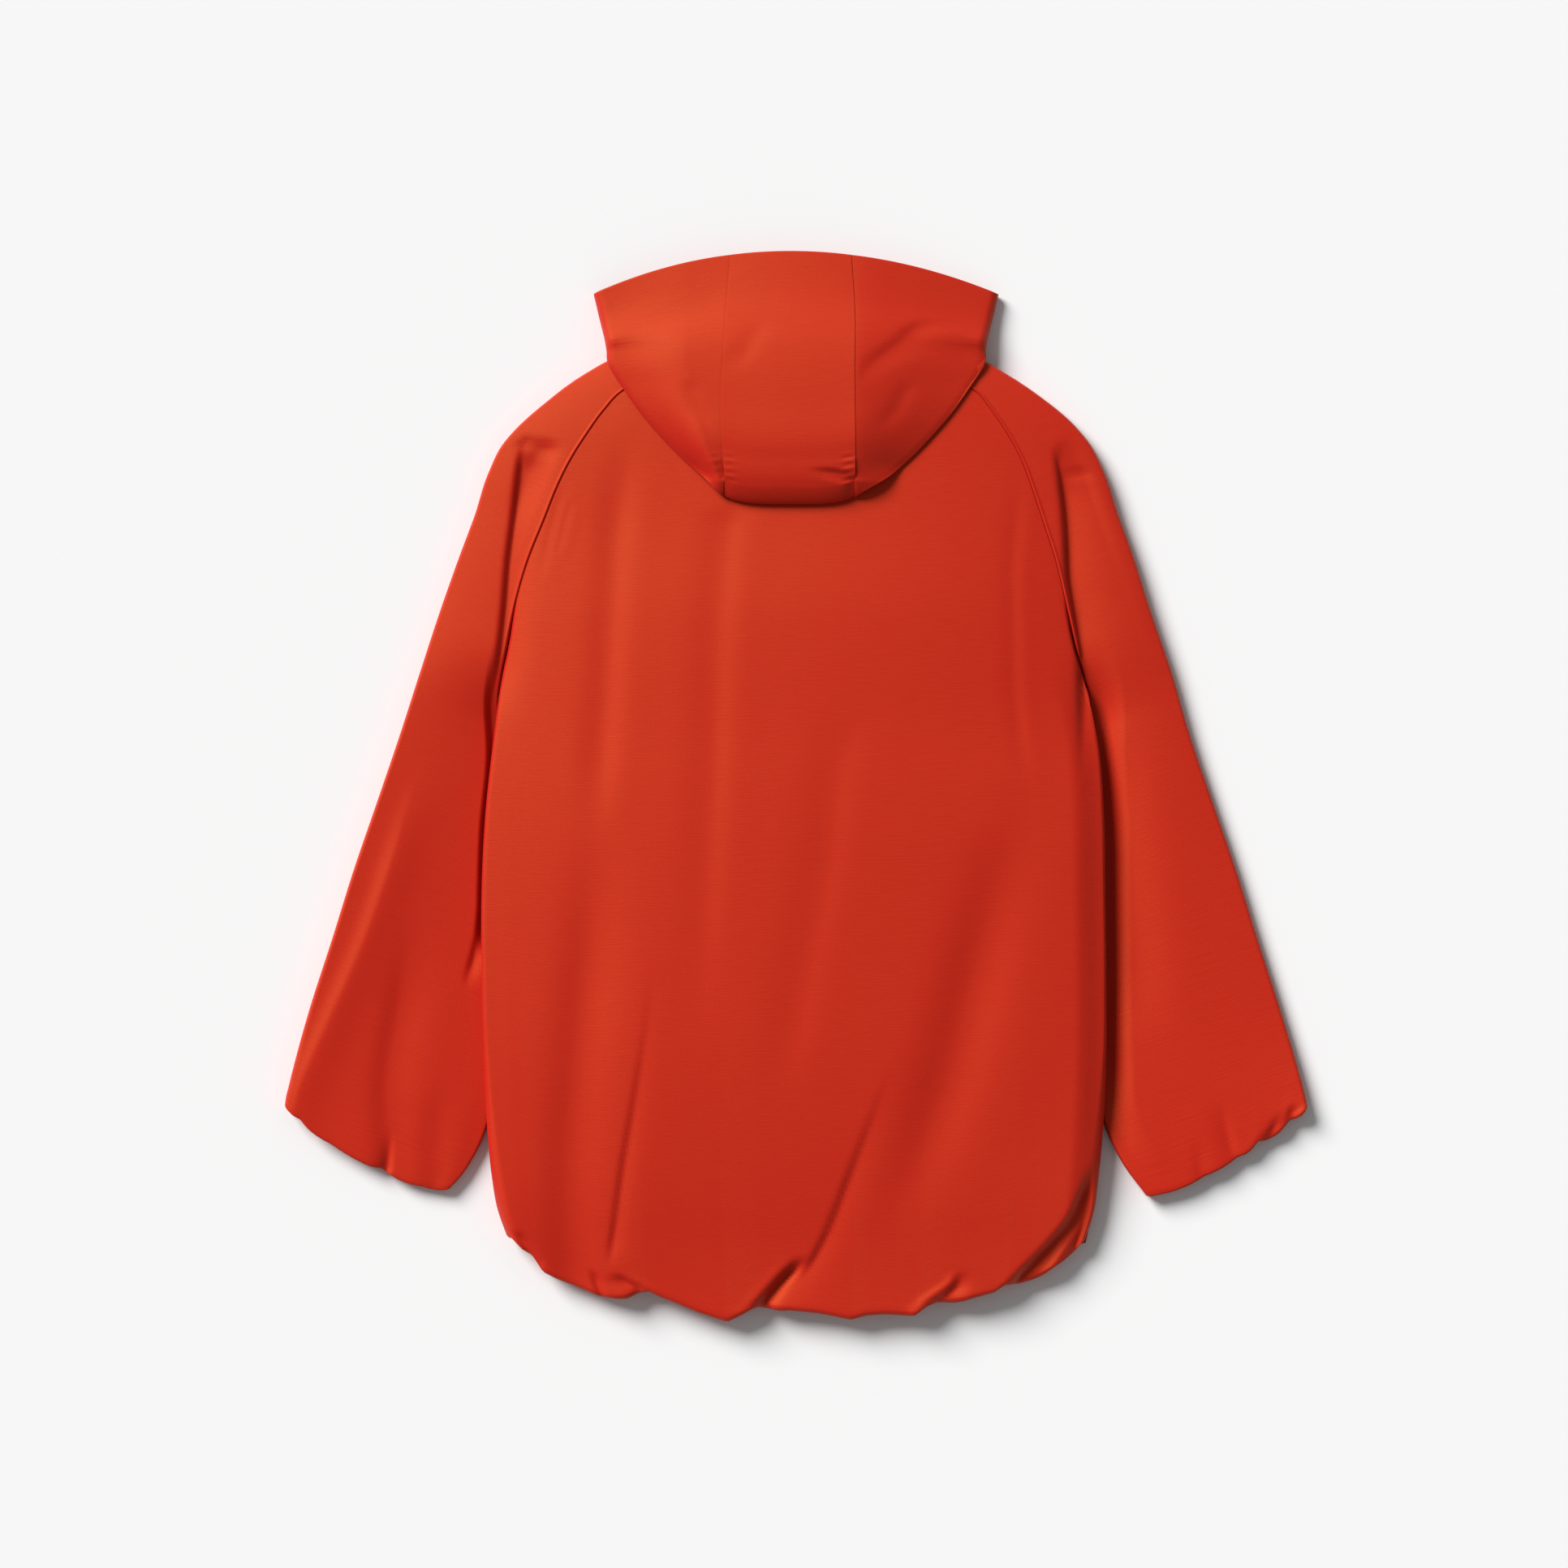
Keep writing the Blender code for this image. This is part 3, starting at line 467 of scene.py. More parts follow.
def underarmOver(y, length):
    # 0 down to the underarm, 1 from a length below it
    return ramp(y, body["underarmY"], body["underarmY"] - length)


def widthAt(y):
    # the body's left and right edges at a height down the jacket
    return columnAt(bodyEdge, "left", y), columnAt(bodyEdge, "right", y)


def bodyTop(x, y, share):
    # below the underarm a low dome: edge + (crown - edge) * 4 s (1 - s), lifted at the right, rolled down
    # at its edge and with the folds on it; above, the shoulders' height with what rises past them
    dome = 4 * share * (1 - share)
    edge = columnAt(bodySection, "edge", y)
    crown = columnAt(bodySection, "crown", y)
    inShare = np.minimum(share, 1 - share)
    left, right = widthAt(y)
    level = edge + (crown - edge) * dome + body["rightLift"] * share * ramp(y, *body["rightLiftY"])
    level = level + foldHeight(x, y, bodyFolds) * ramp(inShare, *body["foldShare"])
    level = level + foldHeight(x, y, hemFolds) * ramp(inShare, 0, body["hemFoldShare"])
    level = level - body["rightRoll"] * (1 - ramp((1 - share) * (right - left), 0, body["rightReach"]))
    part = underarmOver(y, body["openLength"])
    above = np.clip(crown - body["shoulderEdge"] - body["shoulderRise"], 0, None)
    return (shoulderHeight(x, y) + above * dome * ramp(y, *body["domeY"])) * (1 - part) + level * part


def seamZ(y):
    # height of the side fold: lifted below the underarm, sunk again at the hem
    lifted = body["underarmZ"] + body["seamLift"] * underarmOver(y, body["seamLength"])
    return lifted - body["hemSink"] * ramp(y, *body["hemSinkY"])


def rounds(count, steps, lastSteps):
    # the first columns go round a quarter ellipse, of inset 1 - cos and rise sin, both 1 past it;
    # the share of the way runs from them to the last ones
    turn = np.linspace(0, np.pi / 2, steps + 1)
    past = np.ones(count - steps)
    across = np.linspace(0, 1, count - steps - lastSteps + 1)
    share = np.concatenate([np.zeros(steps), across, np.ones(lastSteps)])
    return np.concatenate([1 - np.cos(turn), past]), np.concatenate([np.sin(turn), past]), share


def bodyRows():
    # row heights from the neck to the hem, closer over the hem
    (spacing, hemSpacing), (hemY, lastY) = body["rowSpacing"], body["rowsY"]
    upper = np.arange(bodyEdge["y"][0], hemY, -spacing)
    return np.concatenate([upper, np.arange(upper[-1] - hemSpacing, lastY + 1, -hemSpacing), [lastY]])


def hemDrop(hemX):
    # how far below the hem's corners its gathered line runs
    return np.interp(hemX, hemLine["x"], hemLine["y"]) - body["hemCornerY"]


def bodyPlan(edgeY):
    # x runs from edge to edge, less the seam's gap
    # y = row + drop of the hem line * (share of the way down)^power
    inset, rise, across = rounds(body["columns"], body["roundSteps"], body["roundSteps"])
    down = (edgeY[0] - edgeY) / (edgeY[0] - edgeY[-1])
    left, right = widthAt(edgeY)
    half = columnAt(bodySection, "round", edgeY)
    width = right - left
    x = half * inset + (width - 2 * half) * across + half * (1 - inset[::-1])
    x = left + body["seamGap"] / 2 + x * (1 - body["seamGap"] / width)
    hemX = bodyEdge["left"][-1] + (bodyEdge["right"][-1] - bodyEdge["left"][-1]) * (x - left) / width
    y = edgeY + hemDrop(hemX) * down ** body["hemPower"]
    return x, y, (x - left) / width, np.minimum(rise, rise[::-1])


def seamRise(y, rise):
    # 1 above the underarm, where body and sleeve are one surface, and the fold's own rise below it
    below = belowUnderarm(y)
    return 1 - below + below * rise


def insideRows(points, normal, radius, first, last):
    # rows of the sheet, counted back from its edge and moved two radii inwards
    rows = (points - 2 * radius * normal)[-1 - last:len(points) - first]
    return rows[::-1]


def turnedIn(points, normal, radius, inside, steps=10):
    # the last edge rolled under by half a turn, then carried back up inside the sheet
    outward = unit(runningSum(points[-1] - points[-3], 4))
    across = unit(runningSum(normal[-1], 4))
    turn = np.linspace(0, np.pi, steps + 1)[1:, None, None]
    roll = points[-1] + radius * np.sin(turn) * outward - radius * (1 - np.cos(turn)) * across
    return np.concatenate([points, roll, insideRows(points, normal, radius, 1, inside)])


def bodyBack():
    # z = seam + (top - seam) * rise, with the neck's edge turned down and the side folds' walls level
    edgeY = bodyRows()[:, None]
    x, y, share, rise = bodyPlan(edgeY)
    seam = seamZ(edgeY)
    z = seam + (bodyTop(x, y, share) - seam) * seamRise(edgeY, rise)
    points = grid(x, y, z)
    points = np.concatenate([points[:1] - body["neckTurn"], points])
    normal = gridNormals(points)
    normal[:, [0, -1], 1:] = normal[:, [0, -1], 1:] * (0, 1)
    return points, unit(normal)


front = {
    "columns": 70,
    "roundSteps": 8,
    "zipGap": 8.0,
    "neckY": 336.0,
    "lift": 11.5,
    "liftReach": 42.0,
    "liftY": (-400, -310),
    "hemShare": 0.96,
    "foldsIn": (16, 40),  # the folds begin this far from the zip
    "foldsEdge": 10,  # and are whole this far in from the lifted edge
}
frontFolds = [
    fold([(-150, 280), (-165, 140), (-172, 0)], (16, 14), -3.0),
    fold([(-90, -100), (-110, -240), (-118, -390)], (14, 16), -3.6, fade=(0.3, 0)),
    fold([(-205, -180), (-196, -300), (-188, -400)], (12, 16), -3.2, fade=(0.3, 0)),
    fold([(-52, 140), (-60, 20), (-66, -120)], (12, 12), -2.2),
    fold([(140, 240), (152, 110), (150, -20)], (15, 15), -2.8),
    fold([(206, -60), (180, -220), (160, -395)], (18, 14), -4.0, fade=(0.3, 0)),
    fold([(70, -150), (86, -280), (92, -400)], (12, 14), -3.2, fade=(0.3, 0)),
    fold([(56, 200), (60, 60), (58, -60)], (12, 12), -2.0),
]


def bodyFront(side):
    # z = seam - (seam - height) * rise, with a height of 0 apart from the folds and a lift beside the
    # sleeve's tuck; the neck is a low arch down from the seam
    edgeY = bodyRows()[:, None]
    edges = bodyEdge[sides[side]]
    edge = curve(edgeY, bodyEdge["y"], edges)
    half = columnAt(bodySection, "round", edgeY)
    inset, rise, across = rounds(front["columns"], front["roundSteps"], 0)
    reach = np.abs(edge) - half - front["zipGap"] / 2
    away = body["seamGap"] / 2 + (half * inset + reach * across) * (1 - body["seamGap"] / 2 / (half + reach))
    x = edge - side * away
    hemX = edges[-1] * x / edge
    power = body["hemPower"]
    down = (edgeY[0] - edgeY) / (edgeY[0] - edgeY[-1])
    neck = (front["neckY"] - bodyEdge["y"][0]) * (1 - (x / edge) ** 2) * (1 - down) ** power
    y = edgeY + hemDrop(hemX) * front["hemShare"] * down**power + neck
    lift = front["lift"] * underarmOver(edgeY, body["seamLength"]) * ramp(edgeY, *front["liftY"])
    flat = lift * (1 - ramp(away, half, front["liftReach"]))
    within = ramp(np.abs(x), *front["foldsIn"]) * ramp(away, half, front["liftReach"] + front["foldsEdge"])
    flat = flat + np.clip(foldHeight(x, y, frontFolds), 0, None) * within
    seam = seamZ(edgeY)
    points = grid(x, y, seam - (seam - flat) * seamRise(edgeY, rise))
    if side < 0:
        points = points[:, ::-1]
    return points, gridNormals(points)


# pairs named after a side are left, right
sleeves = {
    "wall": 0.9,
    "columns": 96,
    "rowSpacing": (5.0, 2.6),  # down the sleeve, then over the cuff
    "rowsY": (-280.0, -283.0),  # where the first rows end and the cuff's begin
    "lastRows": (6, 4, 0),  # how far above its edge the cuff's rows stop, and the last two lie
    "roundSteps": 7,
    "round": 2.6,
    "foldShare": 0.12,
    "ownLength": 78,  # how far below the underarm the sleeve has its own section
    "cuffBowSides": (14.0, 11.0),  # how far the cuff's edge bulges out
    "bowFrom": 0.93,  # the share of the way down from which it does
    "gapDeepSides": (6.5, 7.5),  # how deep the sleeve drops beside the body, and over which reach
    "gapReachSides": ((7.0, 15.0), (9.0, 34.0)),
    "gapEndSides": ((-162.0, -130.0), (-370, -250)),
    "least": 2.4,
    "sink": 5.7,
    "cuffRise": 3.4,
    "cuffRiseY": (-290, -350),
    "weltHigh": 0.9,  # the edge-stitched welt outside the raglan seam, and the seam's groove
    "weltAt": 1.9,
    "weltWide": 1.1,
    "groove": 0.9,
    "cuffRoll": 2.6,
    "turnedRows": 14,
    "turnSteps": 8,
    "scallopPower": 1.4,
}
# the cuffs' scallops: x, depth and width of each
scallops = {
    -1: ((-452, 3.6, 6), (-423, 1.6, 12), (-377, 3.2, 8), (-340, 1.2, 12), (-300, 1.0, 10)),
    1: ((450, 4.6, 6), (421, 5.5, 6), (402, 2.4, 7), (372, 1.5, 8), (330, 1.0, 12)),
}

# the outer fold, where the inner seam line meets the body's edge, and how far it is tucked under it
sleeveLeft = table(
    "outerX outerY innerY tuck",
    (-107, 412, 390, 0), (-150, 399, 377, 0), (-194, 376, 360, 0), (-233, 347, 338, 0), (-266, 315, 306, 0),
    (-281, 286.5, 273, 0), (-293.5, 248, 225, 0), (-308, 209, 178, 0), (-326, 158, 128, 0),
    (-343, 106, 80, 0), (-361, 50, 22, 9), (-382, -12, -48, 9), (-404, -76, -118, 9), (-424, -140, -188, 8),
    (-444, -202, -254, 7), (-458, -252, -312, 0), (-464, -276, -340, -15), (-466, -284, -356, -27),
    (-467, -291, -368, -40),
)
sleeveRight = table(
    "outerX outerY innerY tuck",
    (107, 412, 390, 0), (150, 399, 377, 0), (193, 376, 360, 0), (234, 347.5, 338, 0),
    (265.5, 316.5, 306, 0), (281, 288, 273, 0), (294, 249.5, 225, 0), (308.5, 209.5, 178, 0),
    (324.5, 159, 128, 0), (342.5, 106.5, 80, 0), (359, 50, 22, 9), (380, -12, -48, 9), (402, -76, -118, 9),
    (422, -140, -188, 9), (442, -202, -254, 8), (457, -252, -312, -2), (464, -278, -345, -21),
    (467, -292, -374, -45),
)
# the top layer's height down the sleeve: at the body, in the middle and at the outer fold
sleeveTopLeft = table(
    "along inner middle outer",
    (0.0, 10.5, 18, 15), (0.35, 10, 16, 16), (0.5, 11, 15.5, 17), (0.75, 11, 15, 18), (0.87, 11, 15.5, 18),
    (0.94, 10.5, 16.5, 18), (1.0, 11, 17, 17),
)
sleeveTopRight = table(
    "along inner middle outer",
    (0.0, 10.5, 18, 15), (0.35, 10, 15.5, 14.5), (0.5, 11, 15.5, 13), (0.75, 13.5, 15.5, 12.5),
    (0.87, 14.5, 16, 13), (0.94, 14.5, 16, 15), (1.0, 14.5, 16, 16.5),
)
sleeveFolds = [
    fold([(-346, -110), (-362, -205), (-373, -280), (-371, -325), (-378, -380)], (13, 24), 2.6, ridge=0.2,
         fade=(0.4, 0)),
    fold([(-369, -305), (-373, -335), (-381, -380)], (6, 2.5), 5.0, power=1.4, fade=(0.6, 0)),
    fold([(-335, 30), (-355, -24), (-369, -71), (-397, -150), (-425, -213), (-451, -272), (-464, -312)],
         (9, 22), -2.8, power=1.7, fade=(0.35, 0)),
    fold([(-289, -110), (-290, -134), (-295, -157), (-300, -174), (-303, -186)], (2.5, 10), 2.8,
         fade=(0.3, 0.35)),
    fold([(-318, -250), (-328, -310), (-330, -380)], (14, 14), 1.4, ridge=0.2, fade=(0.6, 0)),
    fold([(386, -285), (393, -310), (406, -345)], (9, 5), 2.0, power=1.5, fade=(0.6, 0)),
    fold([(442, -292), (432, -310), (418, -332)], (3, 8), 4.0, power=1.5, fade=(0.5, 0)),
    fold([(456, -288), (452, -300), (444, -318)], (4, 4), 2.2, ridge=1.0, fade=(0.3, 0)),
    fold([(366, -315), (368, -335), (374, -370)], (5, 7), 0.9, ridge=0.2, fade=(0.5, 0)),
    fold([(284, 60), (300, -60), (318, -240)], (20, 20), 1.5, ridge=0.6),
]


def cuffEdge(x, side):
    # scallops along the gathered cuff: sum of depth * exp(-|distance / width|^power)
    power = sleeves["scallopPower"]
    return sum(deep * np.exp(-np.abs((x - at) / wide) ** power) for at, deep, wide in scallops[side])


def sleeve(side):
    # a flat tube: columns run over the top from the body's edge to the outer fold, then back under
    # top = inner + (outer - inner) p + (middle - mean of both) * 4 p (1 - p), with p the share of the way
    # across, less the gap beside the body; above the underarm it is the shoulders' height
    stations, level = (sleeveLeft, sleeveTopLeft) if side < 0 else (sleeveRight, sleeveTopRight)
    bow, gapDeep, gapReach, gapEnd = (
        sleeves[name + "Sides"][side > 0] for name in ("cuffBow", "gapDeep", "gapReach", "gapEnd"))
    last = stations["innerY"][-1]
    (spacing, cuffSpacing), (upperEnd, cuffY) = sleeves["rowSpacing"], sleeves["rowsY"]
    upperRows = np.arange(bodyEdge["y"][0], upperEnd, -spacing)
    stop, *ends = (last + above for above in sleeves["lastRows"])
    innerY = np.concatenate([upperRows, np.arange(cuffY, stop, -cuffSpacing), ends])[:, None]
    outerX, outerY, tuck = (
        curve(innerY, stations["innerY"], stations[name]) for name in ("outerX", "outerY", "tuck"))
    innerX = columnAt(bodyEdge, sides[side], innerY) - side * tuck + side * body["seamGap"] / 2
    width = np.hypot(outerX - innerX, outerY - innerY)
    half = sleeves["round"]
    inset, riseIn, across = rounds(sleeves["columns"], sleeves["roundSteps"], sleeves["roundSteps"])
    part = (half * (1 + inset - inset[::-1]) + (width - 2 * half) * across) / width
    x = innerX + (outerX - innerX) * part
    y = innerY + (outerY - innerY) * part
    rise = seamRise(innerY, riseIn) * riseIn[::-1]
    along = (innerY[0] - innerY) / (innerY[0] - last)
    inner, middle, outer = (columnAt(level, name, along) for name in ("inner", "middle", "outer"))
    tube = inner + (outer - inner) * part + (middle - (inner + outer) / 2) * 4 * part * (1 - part)
    tube = tube + foldHeight(x, y, sleeveFolds) * ramp(part, 0, sleeves["foldShare"])
    own = underarmOver(innerY, sleeves["ownLength"])
    inside = part * width
    gap = gapDeep * (1 - ramp(inside, *gapReach)) * ramp(y, *gapEnd)
    tube = np.maximum(tube - gap, sleeves["least"])
    top = shoulderHeight(x, y) * (1 - own) + tube * own
    welt = sleeves["weltHigh"] * np.exp(-(((inside - sleeves["weltAt"]) / sleeves["weltWide"]) ** 2))
    welt = welt - sleeves["groove"] * np.exp(-((inside / sleeves["groove"]) ** 2))
    top = top + welt * (1 - belowUnderarm(innerY))
    seam = body["underarmZ"] - sleeves["sink"] * underarmOver(innerY, body["seamLength"])
    seam = seam + sleeves["cuffRise"] * ramp(innerY, *sleeves["cuffRiseY"])
    middleZ = np.where(part < 0.5, seam, outer / 2)
    upper = middleZ + (top - middleZ) * rise
    lower = middleZ * (1 - rise)
    bulge = bow * (1 - np.abs(2 * part - 1) ** 3)
    y = y + (cuffEdge(x, side) - bulge) * ramp(along, sleeves["bowFrom"], 1.0)
    points = np.concatenate([grid(x, y, upper), grid(x, y, lower)[:, -2::-1]], axis=1)
    if side < 0:
        points = points[:, ::-1]
    return points, gridNormals(points)


hood = {
    "wall": 0.9,
    "rows": 150,
    "round": 8.0,
    "shift": -6.0,  # its middle lies this far to the left
    "openingY": (488, 39, 185),  # the opening's edge: middle, drop at the sides and half width
    "crownY": (255.5, 7, 59),  # the crown's line: middle, rise at the seams and half width
    "crownSeamY": 262.5,
    "crownRoll": 8.0,
    "crownRollFrom": 16,  # how far above the crown's line the roll begins
    "crownHandles": ((6, -4), (-8, 0)),
    "puff": 1.2,
    "clear": 2.5,
    "layGap": 1.6,
    "seamGap": 0.02,
    "seamDeep": 0.35,
    "seamWide": 1.1,
    "seamStep": 0.6,  # the right panel lies this much lower at its seam
    "rungs": (0.3, 7.0, 0.12, 6, 5.5),  # the seam's puckers: height, spacing, lean, how far off it, and reach
    "rungsY": (306, 298),  # where they fade in, and out again at the crown
    "rungsEndY": (262, 268),
    "bow": 5.0,
    "edgeThin": 0.12,
    "edgeThinPlaces": (3.5, 6),
    "leftLift": 8.0,
    "leftLiftPlaces": (9.5, 5),
    "evenReach": 16,
    "stripColumns": 61,
    "rollRows": 25,
    "lastPlace": 11,  # the number of the crown's row in hoodSide
    "underFrom": 7,  # and of the row down to which the strip goes back under
    "sideColumns": (52, 8, 31),  # over the top, round the outer fold, and under
    "closer": 1.7,  # power that sets the top's columns closer at the seam
    "bowPlaces": (3, 0),
    "layPlaces": (5, 5.6),  # where the side's under layer begins to lie on the back
    "clearPlaces": (5.6, 0.9, 0.4),
    "shiftPlaces": (6, 7),
    "crownPlaces": (9.6, 11),  # where the panel takes up the crown's roll
    "stepReach": 6,
    "foldShare": 0.08,
    "leftFall": (0.3, 1.1),  # where the left panel falls from its seam's height to its fold's
    "rightFall": 0.8,  # how evenly the right one does
    "underHandle": 0.4,
    "stripSeams": ((0.2, 1.0), (0.0, 1.6)),  # groove and puckers at the strip's left and right seam
    "sideSeams": ((0.2, 0.8), (0.0, 0.0)),  # and on the side panels
}
strip = table(
    "y left right",
    (486, -60, 50), (436, -64, 53), (370, -68, 53), (312, -68, 53.5), (280, -65.5, 53.5), (262, -65.5, 53.5),
)
# from the opening's edge to the crown: the seam, the outer fold, a point under the hood and the under seam
hoodSide = table(
    "seamY foldX foldY foldZ thick midX midY midZ endX endY endZ",
    (484, 185, 449, 0.0, 13, 122, 450, 0.0, 4.4, 421.0, 0.0),
    (464, 180, 428, 0.5, 14.5, 119, 442, 0.0, 4.4, 380.0, 0.0),
    (448, 177, 416, 2.0, 17, 117, 434, 0.0, 4.4, 337.0, 0.0),
    (434, 175, 408, 4.0, 19, 115, 430, 0.0, 50.0, 356.0, 0.0),
    (420, 174, 403, 6.0, 20, 114, 424, 1.0, 89.0, 395.0, 0.0),
    (406, 173, 397, 12.0, 19, 126, 414, 15.0, 110.0, 417.0, 14.0),
    (388, 171, 383, 20.0, 19, 125, 386, 24.0, 87.0, 389.0, 28.0),
    (366, 157, 361, 22.0, 19, 110, 370, 26.0, 64.0, 387.0, 28.0),
    (342, 139, 336, 26.0, 18, 102, 341, 28.0, 63.5, 345.0, 28.0),
    (316, 113, 307, 28.0, 18, 90, 312, 28.0, 62.0, 318.0, 28.0),
    (294, 88, 284, 28.0, 16, 75, 291, 28.0, 60.5, 296.0, 28.0),
    (278, 59.7, 262.5, 28.0, 11, 59.7, 270, 28.0, 59.7, 278.0, 28.0),
)
hoodTop = table(
    "y z",
    (490, 24), (449, 31), (400, 44), (350, 50), (312, 52), (303.5, 51.2), (292.5, 50.3), (286.5, 49.3),
    (281.5, 47.9), (278, 46.7), (262, 41),
)
hoodPlaces = np.linspace(0, hood["lastPlace"], hood["rows"])


def cover(x, y):
    # height at which a layer lies on the back and the shoulders
    left, right = widthAt(y)
    share = np.clip((x - left) / (right - left), 0, 1)
    return bodyTop(x, y, share) + hood["layGap"]


def openingY(x):
    # a parabola: middle - drop * (x / half width)^2
    middle, drop, half = hood["openingY"]
    return middle - drop * (x / half) ** 2


def crownY(x):
    # nearly level, up at the seams: middle + rise * (distance / half width)^4
    middle, rise, half = hood["crownY"]
    return middle + rise * (np.abs(x - hood["shift"]) / half) ** 4


def hoodStation(name, place):
    # a column of hoodSide between its rows: straight for the under seam, a smooth curve for the rest
    between = np.interp if name.startswith("end") else curve
    return between(place, np.arange(len(hoodSide[name])), hoodSide[name])


hoodFolds = [
    # the small dent beside the right seam, above the crown's roll
    fold([(26, 290), (36, 284), (50, 277), (62, 270)], (7, 5), 2.6, fade=(0.3, 0.5), power=2.4),
    # faint level creases
    fold([(-30, 430), (-44, 398), (-60, 372)], (12, 9), 0.8, fade=(0.4, 0.4)),
    fold([(120, 428), (96, 404), (70, 382), (58, 360)], (7, 14), 1.6, fade=(0.2, 0.5)),
    fold([(104, 372), (92, 345), (74, 318)], (8, 8), 0.9, fade=(0.3, 0.4)),
    fold([(-98, 372), (-92, 345), (-80, 322)], (8, 8), 0.8, fade=(0.3, 0.4)),
]


def hoodSeams(away, y, deep, pucker):
    # a groove at the seam, and near the crown a sine of y beside it, for the puckers
    away = np.abs(away)
    groove = -deep * hood["seamDeep"] * np.exp(-((away / hood["seamWide"]) ** 2))
    high, spacing, lean, off, reach = hood["rungs"]
    rungs = np.sin(2 * np.pi * y / spacing + lean * away) * np.exp(-(((away - off) / reach) ** 2))
    return groove + high * pucker * rungs * ramp(y, *hood["rungsY"]) * ramp(y, *hood["rungsEndY"])


def crownRoll(high, low):
    # a cubic curve from the top layer round to the lower one, as distance and height
    t = np.linspace(0, 1, hood["rollRows"])[1:, None]
    w0, w1, w2, w3 = (1 - t) ** 3, 3 * t * (1 - t) ** 2, 3 * t * t * (1 - t), t**3
    start = strip["y"][-1] + hood["crownRollFrom"] - hood["crownSeamY"]
    (away1, rise1), (away2, rise2) = hood["crownHandles"]
    away = start * w0 + away1 * w1 + away2 * w2 + hood["crownRoll"] * w3
    return away, high * w0 + (high + rise1) * w1 + (low + rise2) * w2 + low * w3


def hoodStrip():
    # the middle panel: over the top, round the crown's roll and back under; its rows bend with the opening
    # and with the crown, by the square of the share of the way
    place = hoodPlaces[:, None]
    seamY = hoodStation("seamY", place)
    left = columnAt(strip, "left", seamY) + hood["seamGap"] / 2
    right = columnAt(strip, "right", seamY) - hood["seamGap"] / 2
    share = 0.5 - 0.5 * np.cos(np.linspace(0, np.pi, hood["stripColumns"]))
    x = left + (right - left) * share
    near = (1 - place / hood["lastPlace"]) ** 2
    far = (place / hood["lastPlace"]) ** 2
    edge = openingY(left) * (1 - share) + openingY(right) * share
    y = seamY + (openingY(x) - edge) * near + (crownY(x) - hood["crownSeamY"]) * far
    z = columnAt(hoodTop, "z", seamY) + hood["puff"] * 4 * share * (1 - share)
    leftSeam, rightSeam = hood["stripSeams"]
    z = z + hoodSeams(x - left, y, *leftSeam) + hoodSeams(right - x, y, *rightSeam)
    z = z + foldHeight(x, y, hoodFolds)
    top = grid(x, y, z)
    away, level = crownRoll(z[-1:], cover(x[-1:], crownY(x[-1:]) + hood["crownRoll"]))
    roll = grid(x[-1:], crownY(x[-1:]) + away, level)
    start, length = hood["underFrom"], hood["lastPlace"] - hood["underFrom"]
    back = hoodPlaces[hoodPlaces >= start][::-1][:, None]
    endX = hoodStation("endX", back) - body["seamGap"]
    x = hood["shift"] + endX * (2 * share - 1)
    y = hoodStation("endY", back) + (crownY(x) - hood["crownSeamY"]) * ((back - start) / length) ** 2
    return np.concatenate([top, roll, grid(x, y, cover(x, y))])


def evenRows(column, reach):
    # the running mean down a column of heights
    return runningSum(column, reach) / (2 * reach + 1)


